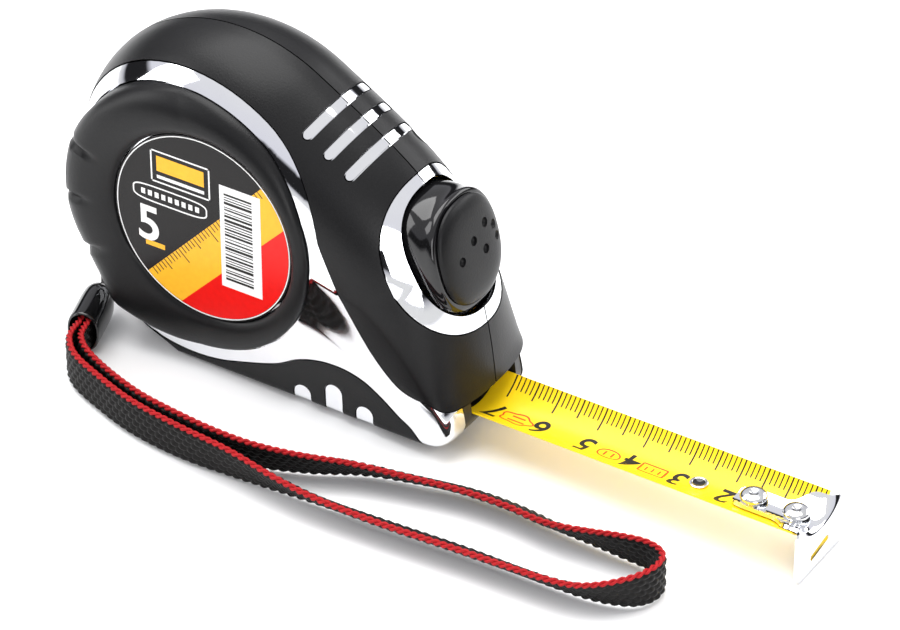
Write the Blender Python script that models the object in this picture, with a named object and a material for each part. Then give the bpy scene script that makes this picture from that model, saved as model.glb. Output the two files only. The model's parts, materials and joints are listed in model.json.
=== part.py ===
"""Pocket tape measure: case halves, soft skins, lock, blade, hook, coil and wrist strap.

Row frame: X along the blade towards the hook, Y across the case, Z up, origin at the
middle of the flat base. Sizes are in millimetres and turned into metres by MM.
"""

import math

import bmesh
import bpy
import numpy as np
from mathutils import Vector
from mathutils.bvhtree import BVHTree

MM = 0.001
WELD_AT = 0.000002

# Case outline, seen from the side
BODY_R = 34.5
BODY_X = -22.0
BODY_Z = BODY_R
NOSE_X = 34.7
TOE_R = 6.0
MOUTH_TOP = 8.8
CREST_ANGLE = 59.5
LOWER_PULL = 34.0
UPPER_PULL = 31.0
BASE_HALF = NOSE_X - TOE_R

# Case thickness and layers
HALF_T = 17.0
FOOT_HALF = 15.0
DOME_W = 16.0
FOOT_W = 2.5
DOME_POWER = 1.9
FOOT_POWER = 6.0
FLAT_R = 14.0
SKIN_T = 0.6
SKIN_GAP = 0.3
WALL_T = 1.2
HALF_GAP = 0.15
GAP = 0.3
SHELL_OUT = SKIN_T + SKIN_GAP
SHELL_IN = SHELL_OUT + WALL_T

# Side ring, label and chrome band
RING_X = -24.4
RING_Z = 33.2
RING_R = 28.2
RING_BULGE = 1.4
LABEL_X = -20.0
LABEL_Z = 33.6
LABEL_R = 20.1
LABEL_T = 0.5
BAND_R = 31.3
GROOVE_D = 0.7
# How far the rear of the ring stands out as a bumper, by its share of the way to the label
BUMPER_ANGLE = 184
BUMPER_SHARE = (0.0, 0.03, 0.14, 0.35, 0.6, 0.82, 1.0)
BUMPER_RISE = (0.0, 4.7, 4.7, 3.2, 1.4, 0.45, 0.0)

# Blade, mouth and hook
BLADE_CHORD = 14.7
BLADE_SAG = 3.4
BLADE_T = 0.25
BLADE_EDGE_Z = 6.2
BLADE_IN_X = 31.0
BLADE_OUT_X = 102.6
MOUTH_HALF = 10.3
MOUTH_IN_X = 24.0
HOOK_X = 104.2
HOOK_T = 0.7
HOOK_HALF = 8.9
HOOK_LOW = -4.7
TAB_IN_X = 87.0
TAB_HALF = 3.3
RIVET_X = (90.6, 99.6)
RIVET_R = 1.2
RIVET_HEAD_R = 2.65
HOOK_PLAY = 1.0
PLAIN_RIVET_X = 79.0

# Coil, spool and spring
COIL_X = BODY_X
COIL_Z = 33.9
COIL_R = 24.1
COIL_HALF = 8.2
DRUM_R = 12.5
POST_R = 2.6
SPRING_T = 0.35
SPRING_PITCH = 1.1

# Lock
LOCK_X = 25.5
LOCK_Z = 36.9
LOCK_LEAN = 29.2
LOCK_LONG = 13.3
LOCK_WIDE = 11.2
LOCK_NECK = 9.9
NECK_DEPTH = 5.6
LOCK_FIT = 0.75
FACE_HIGH = 2.3
FACE_SHIFT = 1.3
FACE_TILT = -13.8
FACE_LONG = 11.6
FACE_WIDE = 10.9
PIN_R = 1.2
PIN_DEPTH = 8.0
SKIRT_DEPTH = 9.5
EAR_R = 2.5
SURROUND_LONG = 16.1
SURROUND_WIDE = 14.6
SURROUND_SHIFT = 0.5

# Screws
SCREW_R = 1.15
SCREW_HEAD_R = 2.2
BOSS_R = 3.3
SCREW_AT = ((10.0, 49.4), (14.0, 17.4), (BODY_X - 27.4, BODY_Z - 4.8))

# Strap, clip and string
STRAP_Z = 0.3
STRAP_T = 1.4
# The tool rests on the rear edge of its base and the hook's tip, so the strap lies on a plane
# that falls towards the hook: this much in X, Y and Z for each mm past REST_EDGE_X
REST_EDGE_X = -30.0
STRAP_FALL = (-0.0256, 0.0405, -0.0341)
CLIP_Z = 5.1
STRING_R = 0.45

COLOURS = {
    "chrome": ((0.80, 0.80, 0.82, 1), 1.0, 0.08),
    "rubber": ((0.018, 0.018, 0.020, 1), 0.0, 0.55),
    "gloss_black": ((0.012, 0.012, 0.014, 1), 0.0, 0.18),
    "print": ((0.60, 0.10, 0.06, 1), 0.0, 0.35),
    "yellow": ((0.85, 0.60, 0.03, 1), 0.0, 0.35),
    "steel": ((0.55, 0.55, 0.57, 1), 1.0, 0.30),
    "spring_steel": ((0.22, 0.24, 0.30, 1), 1.0, 0.35),
    "plastic": ((0.05, 0.05, 0.055, 1), 0.0, 0.45),
    "fabric": ((0.03, 0.03, 0.03, 1), 0.0, 0.9),
}

for old in list(bpy.data.objects):
    bpy.data.objects.remove(old)

PART = bpy.data.collections.new("tape_measure")
CUTTERS = bpy.data.collections.new("tape_measure_cutters")
bpy.context.scene.collection.children.link(PART)
bpy.context.scene.collection.children.link(CUTTERS)
CUTTERS.hide_render = True


def material(name, kind):
    colour, metal, rough = COLOURS[kind]
    made = bpy.data.materials.new(name)
    made.use_nodes = True
    shader = made.node_tree.nodes["Principled BSDF"]
    shader.inputs["Base Color"].default_value = colour
    shader.inputs["Metallic"].default_value = metal
    shader.inputs["Roughness"].default_value = rough
    made.diffuse_color = colour
    return made


def add(name, points, faces, kind=None, origin=(0, 0, 0)):
    """An object from points in mm, its faces turned outwards; a cutter has no kind."""
    shift = np.array(origin, float)
    mesh = bpy.data.meshes.new(name)
    mesh.from_pydata([tuple((np.array(p) - shift) * MM) for p in points], [], faces)
    work = bmesh.new()
    work.from_mesh(mesh)
    bmesh.ops.remove_doubles(work, verts=work.verts, dist=1e-7)
    bmesh.ops.recalc_face_normals(work, faces=work.faces)
    if work.calc_volume(signed=True) < 0:
        bmesh.ops.reverse_faces(work, faces=work.faces)
    work.to_mesh(mesh)
    work.free()
    obj = bpy.data.objects.new(name, mesh)
    obj.location = shift * MM
    if kind:
        mesh.materials.append(material(name, kind))
        PART.objects.link(obj)
    else:
        CUTTERS.objects.link(obj)
        obj.hide_render = True
        obj.display_type = "WIRE"
    return obj


def boolean(obj, other, operation="DIFFERENCE"):
    step = obj.modifiers.new(operation.lower() + "_" + other.name, "BOOLEAN")
    step.operation = operation
    step.solver = "EXACT"
    step.use_self = obj.name.startswith("shell")
    step.object = other


def loft(rings, capped=True):
    """Points and faces of closed loops joined in order, with flat ends or joined round."""
    count = len(rings[0])
    points = [p for ring in rings for p in ring]
    faces = []
    last = len(rings) if not capped else len(rings) - 1
    for j in range(last):
        a, b = j * count, ((j + 1) % len(rings)) * count
        for k in range(count):
            n = (k + 1) % count
            faces.append((a + k, a + n, b + n, b + k))
    if capped:
        faces.append(tuple(range(count)))
        faces.append(tuple(range((len(rings) - 1) * count, len(rings) * count)))
    return points, faces


def lathe(profile, centre, axis=(0, 1, 0), steps=32, ring=False):
    """Turns (radius, height) pairs about an axis; ring=True joins the profile to itself."""
    axis = Vector(axis).normalized()
    side = axis.orthogonal().normalized()
    other = axis.cross(side)
    rings = []
    for radius, height in profile:
        loop = []
        for k in range(steps):
            a = 2 * math.pi * k / steps
            p = Vector(centre) + axis * height
            p = p + (side * math.cos(a) + other * math.sin(a)) * radius
            loop.append(tuple(p))
        rings.append(loop)
    return loft(rings, capped=not ring)


def prism_y(outline, low, high):
    """A polygon in X and Z pulled along Y."""
    return loft([[(x, y, z) for x, z in outline] for y in (low, high)])


def box(low, high):
    (a, b, c), (d, e, f) = low, high
    return prism_y([(a, c), (d, c), (d, f), (a, f)], b, e)


def cutter(name, shape):
    return add("cut_" + name, *shape)


def smooth(t):
    t = min(max(t, 0.0), 1.0)
    return t * t * (3 - 2 * t)


# Outline of the case: base, toe, front, crest and rear, counter-clockwise from the rear


def bezier(a, b, c, d, t):
    s = 1 - t
    return a * s**3 + b * 3 * s * s * t + c * 3 * s * t * t + d * t**3


def case_outline():
    """Points, dome width and half thickness at each, round the side view."""
    rows = []
    for k in range(8):
        rows.append((-BASE_HALF + 2 * BASE_HALF * k / 8, 0.0, FOOT_W, FOOT_HALF))
    for k in range(5):
        a = math.radians(-90 + 90 * k / 5)
        x = BASE_HALF + TOE_R * math.cos(a)
        rows.append((x, TOE_R + TOE_R * math.sin(a), FOOT_W, FOOT_HALF))
    crest = math.radians(CREST_ANGLE)
    top = np.array([BODY_X + BODY_R * math.cos(crest), BODY_Z + BODY_R * math.sin(crest)])
    low = np.array([NOSE_X, MOUTH_TOP])
    up = low + np.array([-0.1, 1.0]) * LOWER_PULL
    over = top + np.array([math.sin(crest), -math.cos(crest)]) * UPPER_PULL
    for k in range(16):
        x, z = bezier(low, up, over, top, k / 16)
        share = min(max((z - 5.0) / 30.0, 0.0), 1.0)
        width = FOOT_W + (DOME_W - FOOT_W) * share
        rows.append((x, z, width, FOOT_HALF + (HALF_T - FOOT_HALF) * share))
    tail = 270 - 2 * math.degrees(math.atan((BODY_X + BASE_HALF) / BODY_R))
    for k in range(29):
        angle = CREST_ANGLE + (tail - CREST_ANGLE) * k / 28
        a = math.radians(angle)
        share = 1 - smooth((angle - 205) / (tail - 205))
        width = FOOT_W + (DOME_W - FOOT_W) * share
        x = BODY_X + BODY_R * math.cos(a)
        z = BODY_Z + BODY_R * math.sin(a)
        rows.append((x, z, width, FOOT_HALF + (HALF_T - FOOT_HALF) * share))
    table = np.array(rows)
    low = np.array([1 - smooth(z / 13.0) for z in table[:, 1]])
    power = DOME_POWER + (FOOT_POWER - DOME_POWER) * low**2
    level = np.array([1.0 if z < 0.05 else 0.0 for z in table[:, 1]])
    return np.column_stack([table, power, level])


OUTLINE = case_outline()


def inward(points):
    """Unit normals that point into a counter-clockwise outline."""
    along = np.roll(points, -1, 0) - np.roll(points, 1, 0)
    along /= np.linalg.norm(along, axis=1)[:, None]
    return np.stack([-along[:, 1], along[:, 0]], 1)


def half_surface(inset, side):
    """Rings of one half's surface, from the joint face to the middle of its flat side."""
    flat = OUTLINE[:, :2]
    normal = inward(flat)
    width, half, power, level = OUTLINE[:, 2:].T
    centre = np.array([BODY_X, BODY_Z])
    out = flat - centre
    target = centre + out / np.linalg.norm(out, axis=1)[:, None] * FLAT_R
    rings = []
    for s in (0.0, 0.03, 0.12, 0.28, 0.55, 1.0):
        rise = (1 - (1 - s) ** power) ** (1 / power)
        in_by = width * np.where(level > 0, max(s - 0.03, 0.0), s)
        at = flat + normal * (inset + in_by)[:, None]
        y = np.maximum((half - inset) * rise, HALF_GAP)
        rings.append([(p[0], side * q, p[1]) for p, q in zip(at, y)])
    edge = flat + normal * (inset + width)[:, None]
    for t in (0.5, 1.0):
        at = edge + (target - edge) * t
        y = (half - inset) + (HALF_T - half) * smooth(t)
        rings.append([(p[0], side * q, p[1]) for p, q in zip(at, y)])
    return rings


def half_solid(outer, inner, side):
    """A cup between two insets of the surface, open at the joint face."""
    rings = half_surface(outer, side)[::-1] + half_surface(inner, side)
    return loft(rings)


SURFACES = {}


def depth(x, z, inset=0.0):
    """Half thickness of the case at a point of the side view."""
    if inset not in SURFACES:
        points, faces = loft(half_surface(inset, 1))
        points = [Vector(p) for p in points]
        faces = [f for f in faces if len(f) == 4] + [faces[-1]]
        SURFACES[inset] = BVHTree.FromPolygons(points, faces)
    hit = SURFACES[inset].ray_cast(Vector((x, 60, z)), Vector((0, -1, 0)))[0]
    return hit.y if hit else 0.0


def band_outline():
    """Outer edge of the chrome band, a circle with a tail that runs to the toe."""
    rows = [(NOSE_X + 6, 8.0), (33.1, 9.0), (29.3, 10.9), (25.6, 11.2), (22.2, 12.6)]
    rows += [(18.0, 17.2), (14.3, 23.0), (10.4, 30.4)]
    for k in range(23):
        a = math.radians(12 + 272 * k / 22)
        rows.append((RING_X + BAND_R * math.cos(a), RING_Z + BAND_R * math.sin(a)))
    rows += [(-6.0, 6.4), (-0.2, 9.8), (3.8, 11.3), (7.6, 11.9), (11.4, 11.7), (14.9, 10.6)]
    rows += [(17.6, 8.9), (20.1, 6.9), (22.6, 4.9), (25.2, 3.1)]
    return rows + [(28.9, -1.0), (NOSE_X + 6, -1.0)]


LOCK_N = np.array([math.cos(math.radians(LOCK_LEAN)), 0, math.sin(math.radians(LOCK_LEAN))])
LOCK_T = np.array([LOCK_N[2], 0, -LOCK_N[0]])
LOCK_AT = np.array([LOCK_X, 0, LOCK_Z])


def lock_ring(height, long, wide, shift=0.0, tilt=0.0, steps=28, power=2.4):
    """A superellipse round the lock's axis, at a height above its seat."""
    lean = math.radians(tilt)
    along = LOCK_T * math.cos(lean) + LOCK_N * math.sin(lean)
    middle = LOCK_AT + LOCK_N * height + LOCK_T * shift
    loop = []
    for k in range(steps):
        a = 2 * math.pi * k / steps
        c, s = math.cos(a), math.sin(a)
        t = math.copysign(abs(c) ** (2 / power), c) * long
        y = math.copysign(abs(s) ** (2 / power), s) * wide
        loop.append(tuple(middle + along * t + np.array([0, y, 0])))
    return loop


def lock_plug(rows):
    return loft([lock_ring(*row) for row in rows])


def bar_cutter(x, z, half_wide=1.15, half_long=10.9):
    """A round-ended slot across the sloping front."""
    slope = math.radians(-31)
    along = np.array([math.cos(slope), 0, math.sin(slope)])
    out = np.array([-along[2], 0, along[0]])
    loop = []
    for side in (1, -1):
        for k in range(5):
            a = math.radians(-90 + 45 * k)
            y = side * (half_long - half_wide + half_wide * math.cos(a))
            loop.append(along * (side * half_wide * math.sin(a)) + np.array([0, y, 0]))
    at = np.array([x, 0, z])
    return loft([[tuple(at + out * h + p) for p in loop] for h in (-9, 6)])


DIMPLES = [(-3.0, 4.5), (-1.4, 0.0), (0.6, -4.6), (1.8, 3.0), (-1.2, 7.2), (1.4, 7.6)]
BARS = [(1.6, 61.1), (6.2, 58.2), (10.8, 55.2)]
WINDOWS = [(0.6, 4.2), (7.8, 7.1), (14.7, 4.6)]
WINDOW_IN = 12.2


def window_cutter(x, top, half=2.1):
    loop = [(x - half, -1.0), (x + half, -1.0)]
    for k in range(7):
        a = math.pi * k / 6
        loop.append((x + half * math.cos(a), top - half + half * math.sin(a)))
    return loop


def mouth_shape():
    """The opening that the blade and its guide fill."""
    return box((MOUTH_IN_X, -MOUTH_HALF, -1), (NOSE_X + 5, MOUTH_HALF, MOUTH_TOP))


LUG_ANGLE = math.radians(208)
LUG_DIR = np.array([math.cos(LUG_ANGLE), 0, math.sin(LUG_ANGLE)])
LUG_AT = np.array([BODY_X, 0, BODY_Z]) + LUG_DIR * (BODY_R + 2.6)


def lug_block(reach, half, low, high):
    """A block that stands out of the rear of the case along the lug's direction."""
    across = np.array([-LUG_DIR[2], 0, LUG_DIR[0]])
    foot = np.array([BODY_X, 0, BODY_Z]) + LUG_DIR * (BODY_R - 1.6)
    tip = np.array([BODY_X, 0, BODY_Z]) + LUG_DIR * (BODY_R + reach)
    loop = [foot - across * half, tip - across * half, tip + across * half, foot + across * half]
    return prism_y([(p[0], p[2]) for p in loop], low, high)


AROUND = [(math.cos(math.pi * k / 4), math.sin(math.pi * k / 4)) for k in range(8)]


PIVOT = LOCK_AT - LOCK_N * PIN_DEPTH


def ear_end():
    """How far out the lock's bearings reach without showing on the face of the shell."""
    return min(depth(PIVOT[0] + EAR_R * a, PIVOT[2] + EAR_R * b, SHELL_OUT) for a, b in AROUND) - 0.4


def make_case():
    ring_hole = lathe([(RING_R + 0.3, -30), (RING_R + 0.3, 30)], (RING_X, 0, RING_Z))
    size = (SURROUND_LONG, SURROUND_WIDE, SURROUND_SHIFT)
    surround = lock_plug([(-14, *size), (9, *size)])
    neck = [(-14, LOCK_LONG, LOCK_NECK), (-NECK_DEPTH - 0.4, LOCK_LONG, LOCK_NECK)]
    opening = lock_plug(neck + [(-NECK_DEPTH, LOCK_LONG, LOCK_WIDE), (9, LOCK_LONG, LOCK_WIDE)])
    mouth = cutter("mouth", mouth_shape())
    band = cutter("band", prism_y(band_outline(), -30, 30))
    ring_cut = cutter("ring", ring_hole)
    surround_cut = cutter("surround", surround)
    opening_cut = cutter("opening", opening)
    bars = [cutter("bar_%d" % k, bar_cutter(*at)) for k, at in enumerate(BARS)]
    ears = ear_end()
    bearing = [(PIN_R + GAP, 0.6 - ears), (PIN_R + GAP, ears - 0.6)]
    pin_hole = cutter("pin_hole", lathe(bearing, PIVOT, steps=16))
    post = (COIL_X, 0, COIL_Z)
    clip_hole = cutter("clip_hole", lathe([(1.7, 10), (1.7, 30)], post, steps=16))
    lug_cut = cutter("lug_slot", lug_block(3, 2.7, -2.4, 0))
    for side, word in ((-1, "left"), (1, "right")):
        shell = add("shell_" + word, *half_solid(SHELL_OUT, SHELL_IN, side), "chrome")
        grip = add("grip_" + word, *half_solid(0.0, SKIN_T, side), "rubber")
        boolean(grip, band)
        wins = []
        for k, (x, top) in enumerate(WINDOWS):
            reach = sorted((side * WINDOW_IN, side * 30))
            wins.append(cutter("window_%s_%d" % (word, k), prism_y(window_cutter(x, top), *reach)))
        for other in bars + wins + [surround_cut, mouth]:
            boolean(grip, other)
        # Raised lands that fill the openings of the skin up to just under its face
        for k, at in enumerate(BARS):
            shape = half_solid(0.25, SHELL_OUT + 0.4, side)
            land = cutter("land_%s_%d" % (word, k), shape)
            boolean(land, cutter("land_bar_%s_%d" % (word, k), bar_cutter(*at, 0.9, 10.6)), "INTERSECT")
            boolean(shell, land, "UNION")
        for k, (x, z) in enumerate(SCREW_AT):
            rim = [depth(x + BOSS_R * a, z + BOSS_R * b, SHELL_OUT) for a, b in AROUND]
            end = side * (min(rim) - 0.4)
            boss = lathe([(BOSS_R, side * HALF_GAP), (BOSS_R, end)], (x, 0, z), steps=20)
            boolean(shell, cutter("boss_%s_%d" % (word, k), boss), "UNION")
        end = side * (HALF_T - SHELL_OUT - 0.4)
        socket = lathe(
            [(POST_R + GAP, side * 12.6), (POST_R + 2, side * 12.6), (POST_R + 2, end), (POST_R + GAP, end)],
            post, steps=24, ring=True,
        )
        boolean(shell, cutter("socket_" + word, socket), "UNION")
        ear = lathe([(EAR_R, side * (LOCK_NECK + 0.1)), (EAR_R, side * ears)], PIVOT, steps=20)
        boolean(shell, cutter("ear_" + word, ear), "UNION")
        boolean(shell, mouth)
        boolean(shell, opening_cut)
        boolean(shell, pin_hole)
        for k, (x, z) in enumerate(SCREW_AT):
            shaft = [(SCREW_R + 0.2, -7.8), (SCREW_R + 0.2, 30)]
            boolean(shell, cutter("shaft_%s_%d" % (word, k), lathe(shaft, (x, 0, z), steps=16)))
            if side < 0:
                continue
            head = lathe([(SCREW_HEAD_R + GAP, 6.3), (SCREW_HEAD_R + GAP, 30)], (x, 0, z), steps=20)
            head_cut = cutter("head_%d" % k, head)
            boolean(shell, head_cut)
            if k < 2:
                boolean(grip, head_cut)
        if side > 0:
            boolean(shell, clip_hole)
        else:
            boolean(grip, lug_cut)
            boolean(shell, cutter("lug", lug_block(4.6, 2.3, -2.1, -0.4)), "UNION")
            hole = lathe([(1.1, -6), (1.1, 6)], LUG_AT, steps=16)
            boolean(shell, cutter("lug_hole", hole))


def ring_rows(side):
    """Loops of the side ring from its outer foot over the crown to the label's edge."""
    count = 56
    loops = []
    rows = [(0.0, 0.0), (0.03, 0.55), (0.14, 1.05), (0.35, 1.4), (0.6, 1.4), (0.82, 1.05), (0.95, 0.55), (1.0, 0.1)]
    for share, high in rows:
        loop = []
        for k in range(count):
            a = 2 * math.pi * k / count
            c, s = math.cos(a), math.sin(a)
            x = (RING_X + RING_R * c) * (1 - share) + (LABEL_X + (LABEL_R + GAP) * c) * share
            z = (RING_Z + RING_R * s) * (1 - share) + (LABEL_Z + (LABEL_R + GAP) * s) * share
            rise = high * RING_BULGE / 1.4
            rear = max(0.0, math.cos(a - math.radians(BUMPER_ANGLE)))
            rise += float(np.interp(share, BUMPER_SHARE, BUMPER_RISE)) * rear
            for at in (158, 184, 210):
                if abs(math.degrees(a) - at) < 4.0 and share < 0.7:
                    rise -= GROOVE_D * (1 - share)
            loop.append((x, side * (depth(x, z) + max(rise, 0.0)), z))
        loops.append(loop)
    for share in (1.0, 0.8, 0.6, 0.4, 0.25, 0.12, 0.0):
        loop = []
        for k in range(count):
            a = 2 * math.pi * k / count
            c, s = math.cos(a), math.sin(a)
            x = (RING_X + RING_R * c) * (1 - share) + (LABEL_X + (LABEL_R + GAP) * c) * share
            z = (RING_Z + RING_R * s) * (1 - share) + (LABEL_Z + (LABEL_R + GAP) * s) * share
            loop.append((x, side * (depth(x, z) - SKIN_T + 0.05), z))
        loops.append(loop)
    return loops


def make_sides():
    x, z = SCREW_AT[2]
    hole = cutter("ring_screw", lathe([(SCREW_HEAD_R + GAP, 5), (SCREW_HEAD_R + GAP, 30)], (x, 0, z), steps=20))
    centre = (COIL_X, 0, COIL_Z)
    label_hole = cutter("label_hole", lathe([(1.7, 10), (1.7, 30)], centre, steps=16))
    for side, word in ((-1, "left"), (1, "right")):
        ring = add("side_ring_" + word, *loft(ring_rows(side), capped=False), "rubber")
        face = HALF_T - SHELL_OUT + GAP
        disc = [(LABEL_R - 0.3, side * face), (LABEL_R, side * (face + 0.1)), (LABEL_R, side * (face + LABEL_T))]
        label = add("label_" + word, *lathe(disc, (LABEL_X, 0, LABEL_Z), steps=48), "print")
        if side > 0:
            boolean(ring, hole)
            boolean(label, label_hole)


BLADE_R = ((BLADE_CHORD / 2) ** 2 + BLADE_SAG**2) / (2 * BLADE_SAG)
BLADE_AXIS_Z = BLADE_EDGE_Z + BLADE_R - BLADE_SAG


def arc_row(x, drop, steps=12):
    """Points across the blade's hollow face at x, moved down along its normal by drop."""
    reach = math.asin(BLADE_CHORD / 2 / BLADE_R)
    row = []
    for k in range(steps + 1):
        a = -reach + 2 * reach * k / steps
        r = BLADE_R + drop
        row.append((x, r * math.sin(a), BLADE_AXIS_Z - r * math.cos(a)))
    return row


def strip(rows_low, rows_high):
    """A thin sheet between matching rows of points."""
    return loft([low + high[::-1] for low, high in zip(rows_low, rows_high)])


def make_blade():
    lows, highs = [], []
    for x in (BLADE_IN_X, 57.0, 80.0, BLADE_OUT_X):
        lows.append(arc_row(x, BLADE_T))
        highs.append(arc_row(x, 0.0))
    blade = add("blade", *strip(lows, highs), "yellow")
    floor = BLADE_EDGE_Z - BLADE_SAG
    spots = [("hook_rivet_inner", RIVET_X[0], 1), ("hook_rivet_outer", RIVET_X[1], 1)]
    spots.append(("blade_rivet", PLAIN_RIVET_X, 0))
    for name, x, domed in spots:
        hole = lathe([(RIVET_R + 0.25, -3), (RIVET_R + 0.25, 3)], (x, 0, floor), (0, 0, 1), 16)
        boolean(blade, cutter("hole_" + name, hole))
        under = -BLADE_T - 0.12
        if domed:
            seat = GAP + HOOK_T + 0.75
            rows = [(1.9, under - 0.5), (2.1, under - 0.2), (2.1, under), (RIVET_R, under), (RIVET_R, seat)]
            rows += [(RIVET_HEAD_R, seat), (RIVET_HEAD_R, seat + 0.45), (2.2, seat + 0.95), (1.2, seat + 1.2)]
        else:
            rows = [(1.7, under - 0.4), (1.8, under), (RIVET_R, under), (RIVET_R, 0.3)]
            rows += [(1.8, 0.3), (1.75, 0.4), (1.2, 0.5)]
        add(name, *lathe(rows, (x, 0, floor), (0, 0, 1), 20), "steel")


def make_hook():
    """Tab over the blade, bend and plate in front of it, with slots for the rivets."""
    lows, highs = [], []
    flare = [(TAB_IN_X, 1.9), (TAB_IN_X + 1.0, 2.9), (TAB_IN_X + 3, TAB_HALF), (96.6, TAB_HALF)]
    flare += [(98.0, 4.4), (99.6, 6.6), (101.2, 7.3), (102.9, 7.4)]
    steps = 8
    for x, wide in flare:
        reach = wide / BLADE_R
        low, high = [], []
        for k in range(steps + 1):
            a = -reach + 2 * reach * k / steps
            for row, r in ((low, BLADE_R - GAP), (high, BLADE_R - GAP - HOOK_T)):
                row.append((x, r * math.sin(a), BLADE_AXIS_Z - r * math.cos(a)))
        lows.append(low)
        highs.append(high)
    top = highs[-1]
    face = HOOK_X + HOOK_T
    for x_in, x_out, drop_in, drop_out in ((HOOK_X - 0.25, face - 0.3, 0.55, 0.1), (HOOK_X, face, 1.1, 1.1)):
        low, high = [], []
        for k in range(steps + 1):
            y = -HOOK_HALF + 2 * HOOK_HALF * k / steps
            z = top[k][2]
            low.append((x_in, y if drop_in > 1 else (lows[-1][k][1] + y) / 2, z - drop_in))
            high.append((x_out, y if drop_in > 1 else (top[k][1] + y) / 2, z - drop_out))
        lows.append(low)
        highs.append(high)
    for z in (1.2, HOOK_LOW + 1.2):
        lows.append([(HOOK_X, -HOOK_HALF + 2 * HOOK_HALF * k / steps, z) for k in range(steps + 1)])
        highs.append([(face, -HOOK_HALF + 2 * HOOK_HALF * k / steps, z) for k in range(steps + 1)])
    low, high = [], []
    for k in range(steps + 1):
        y = (HOOK_HALF - 1.5) * (2 * k / steps - 1)
        z = HOOK_LOW + 0.7 * (k % 2)
        low.append((HOOK_X, y, z))
        high.append((face, y, z))
    lows.append(low)
    highs.append(high)
    hook = add("end_hook", *strip(lows, highs), "chrome")
    for k, x in enumerate(RIVET_X):
        slot = []
        for side in (1, -1):
            for j in range(7):
                a = math.radians(-90 + 30 * j)
                r = RIVET_R + 0.25
                mid = x - HOOK_PLAY / 2 + side * HOOK_PLAY / 2
                slot.append((mid + side * r * math.cos(a), side * r * math.sin(a)))
        shape = loft([[(p, q, z) for p, q in slot] for z in (2.2, 5.6)])
        boolean(hook, cutter("hook_slot_%d" % k, shape))
    nail = []
    for y, z in ((-3.9, -1.6), (-3.4, -2.2), (3.6, -1.0), (3.9, 0.0), (3.4, 0.5), (-3.6, -0.9)):
        nail.append((y, z))
    shape = loft([[(x, y, z) for y, z in nail] for x in (HOOK_X - 1, face + 1)])
    boolean(hook, cutter("nail_slot", shape))


def make_mouth():
    """Liner of the mouth: a floor that follows the blade and a low wall each side."""
    half = MOUTH_HALF - GAP
    inside = BLADE_CHORD / 2 + 0.5
    loops = []
    for x in (MOUTH_IN_X + GAP, NOSE_X + 2):
        loop = [(x, -half, -1.0), (x, half, -1.0), (x, half, MOUTH_TOP - GAP), (x, inside, MOUTH_TOP - GAP)]
        row = arc_row(x, BLADE_T + 0.45, 10)
        for _, y, z in row[::-1]:
            low = 0.75 * max(0.0, 1 - (y / 4.0) ** 2)
            loop.append((x, min(max(y, -inside), inside), z - low))
        loop += [(x, -inside, MOUTH_TOP - GAP), (x, -half, MOUTH_TOP - GAP)]
        loops.append(loop)
    guide = add("mouth_guide", *loft(loops), "plastic")
    body = half_surface(GAP, -1)[::-1] + half_surface(GAP, 1)
    boolean(guide, cutter("case_body", loft(body)), "INTERSECT")


def make_coil():
    centre = (COIL_X, 0, COIL_Z)
    ring = [(DRUM_R + GAP, -COIL_HALF), (COIL_R, -COIL_HALF), (COIL_R, COIL_HALF), (DRUM_R + GAP, COIL_HALF)]
    add("blade_coil", *lathe(ring, centre, steps=48, ring=True), "yellow", centre)
    bore = POST_R + GAP
    rows = [(bore, COIL_HALF + GAP), (DRUM_R - 1.2, COIL_HALF + GAP), (DRUM_R - 1.2, -COIL_HALF)]
    rows += [(DRUM_R, -COIL_HALF), (DRUM_R, COIL_HALF + GAP), (17.0, COIL_HALF + GAP)]
    rows += [(17.0, COIL_HALF + 1.1), (6.0, COIL_HALF + 1.1), (6.0, 11.6), (bore, 11.6)]
    add("spool", *lathe(rows, centre, steps=36, ring=True), "plastic", centre)
    end = HALF_T - SHELL_IN - GAP
    post = add("centre_post", *lathe([(POST_R, -end), (POST_R, end)], centre, steps=20), "plastic")
    boolean(post, cutter("post_bore", lathe([(1.6, 6), (1.6, 30)], centre, steps=16)))
    slot = box((COIL_X - 0.35, -7.6, COIL_Z - 4), (COIL_X + 0.35, 4.8, COIL_Z + 4))
    boolean(post, cutter("post_slot", slot))
    turns = (DRUM_R - 1.2 - 0.7 - POST_R - 0.6) / SPRING_PITCH
    steps = int(turns * 20)
    lows, highs = [], []
    for k in range(steps + 1):
        a = 2 * math.pi * turns * k / steps
        radius = POST_R + 0.6 + SPRING_PITCH * a / (2 * math.pi)
        for rows, r in ((lows, radius), (highs, radius + SPRING_T)):
            x, z = COIL_X + r * math.cos(a), COIL_Z + r * math.sin(a)
            rows.append([(x, -7.6, z), (x, 7.6, z)])
    add("mainspring", *strip(lows, highs), "spring_steel")


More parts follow.
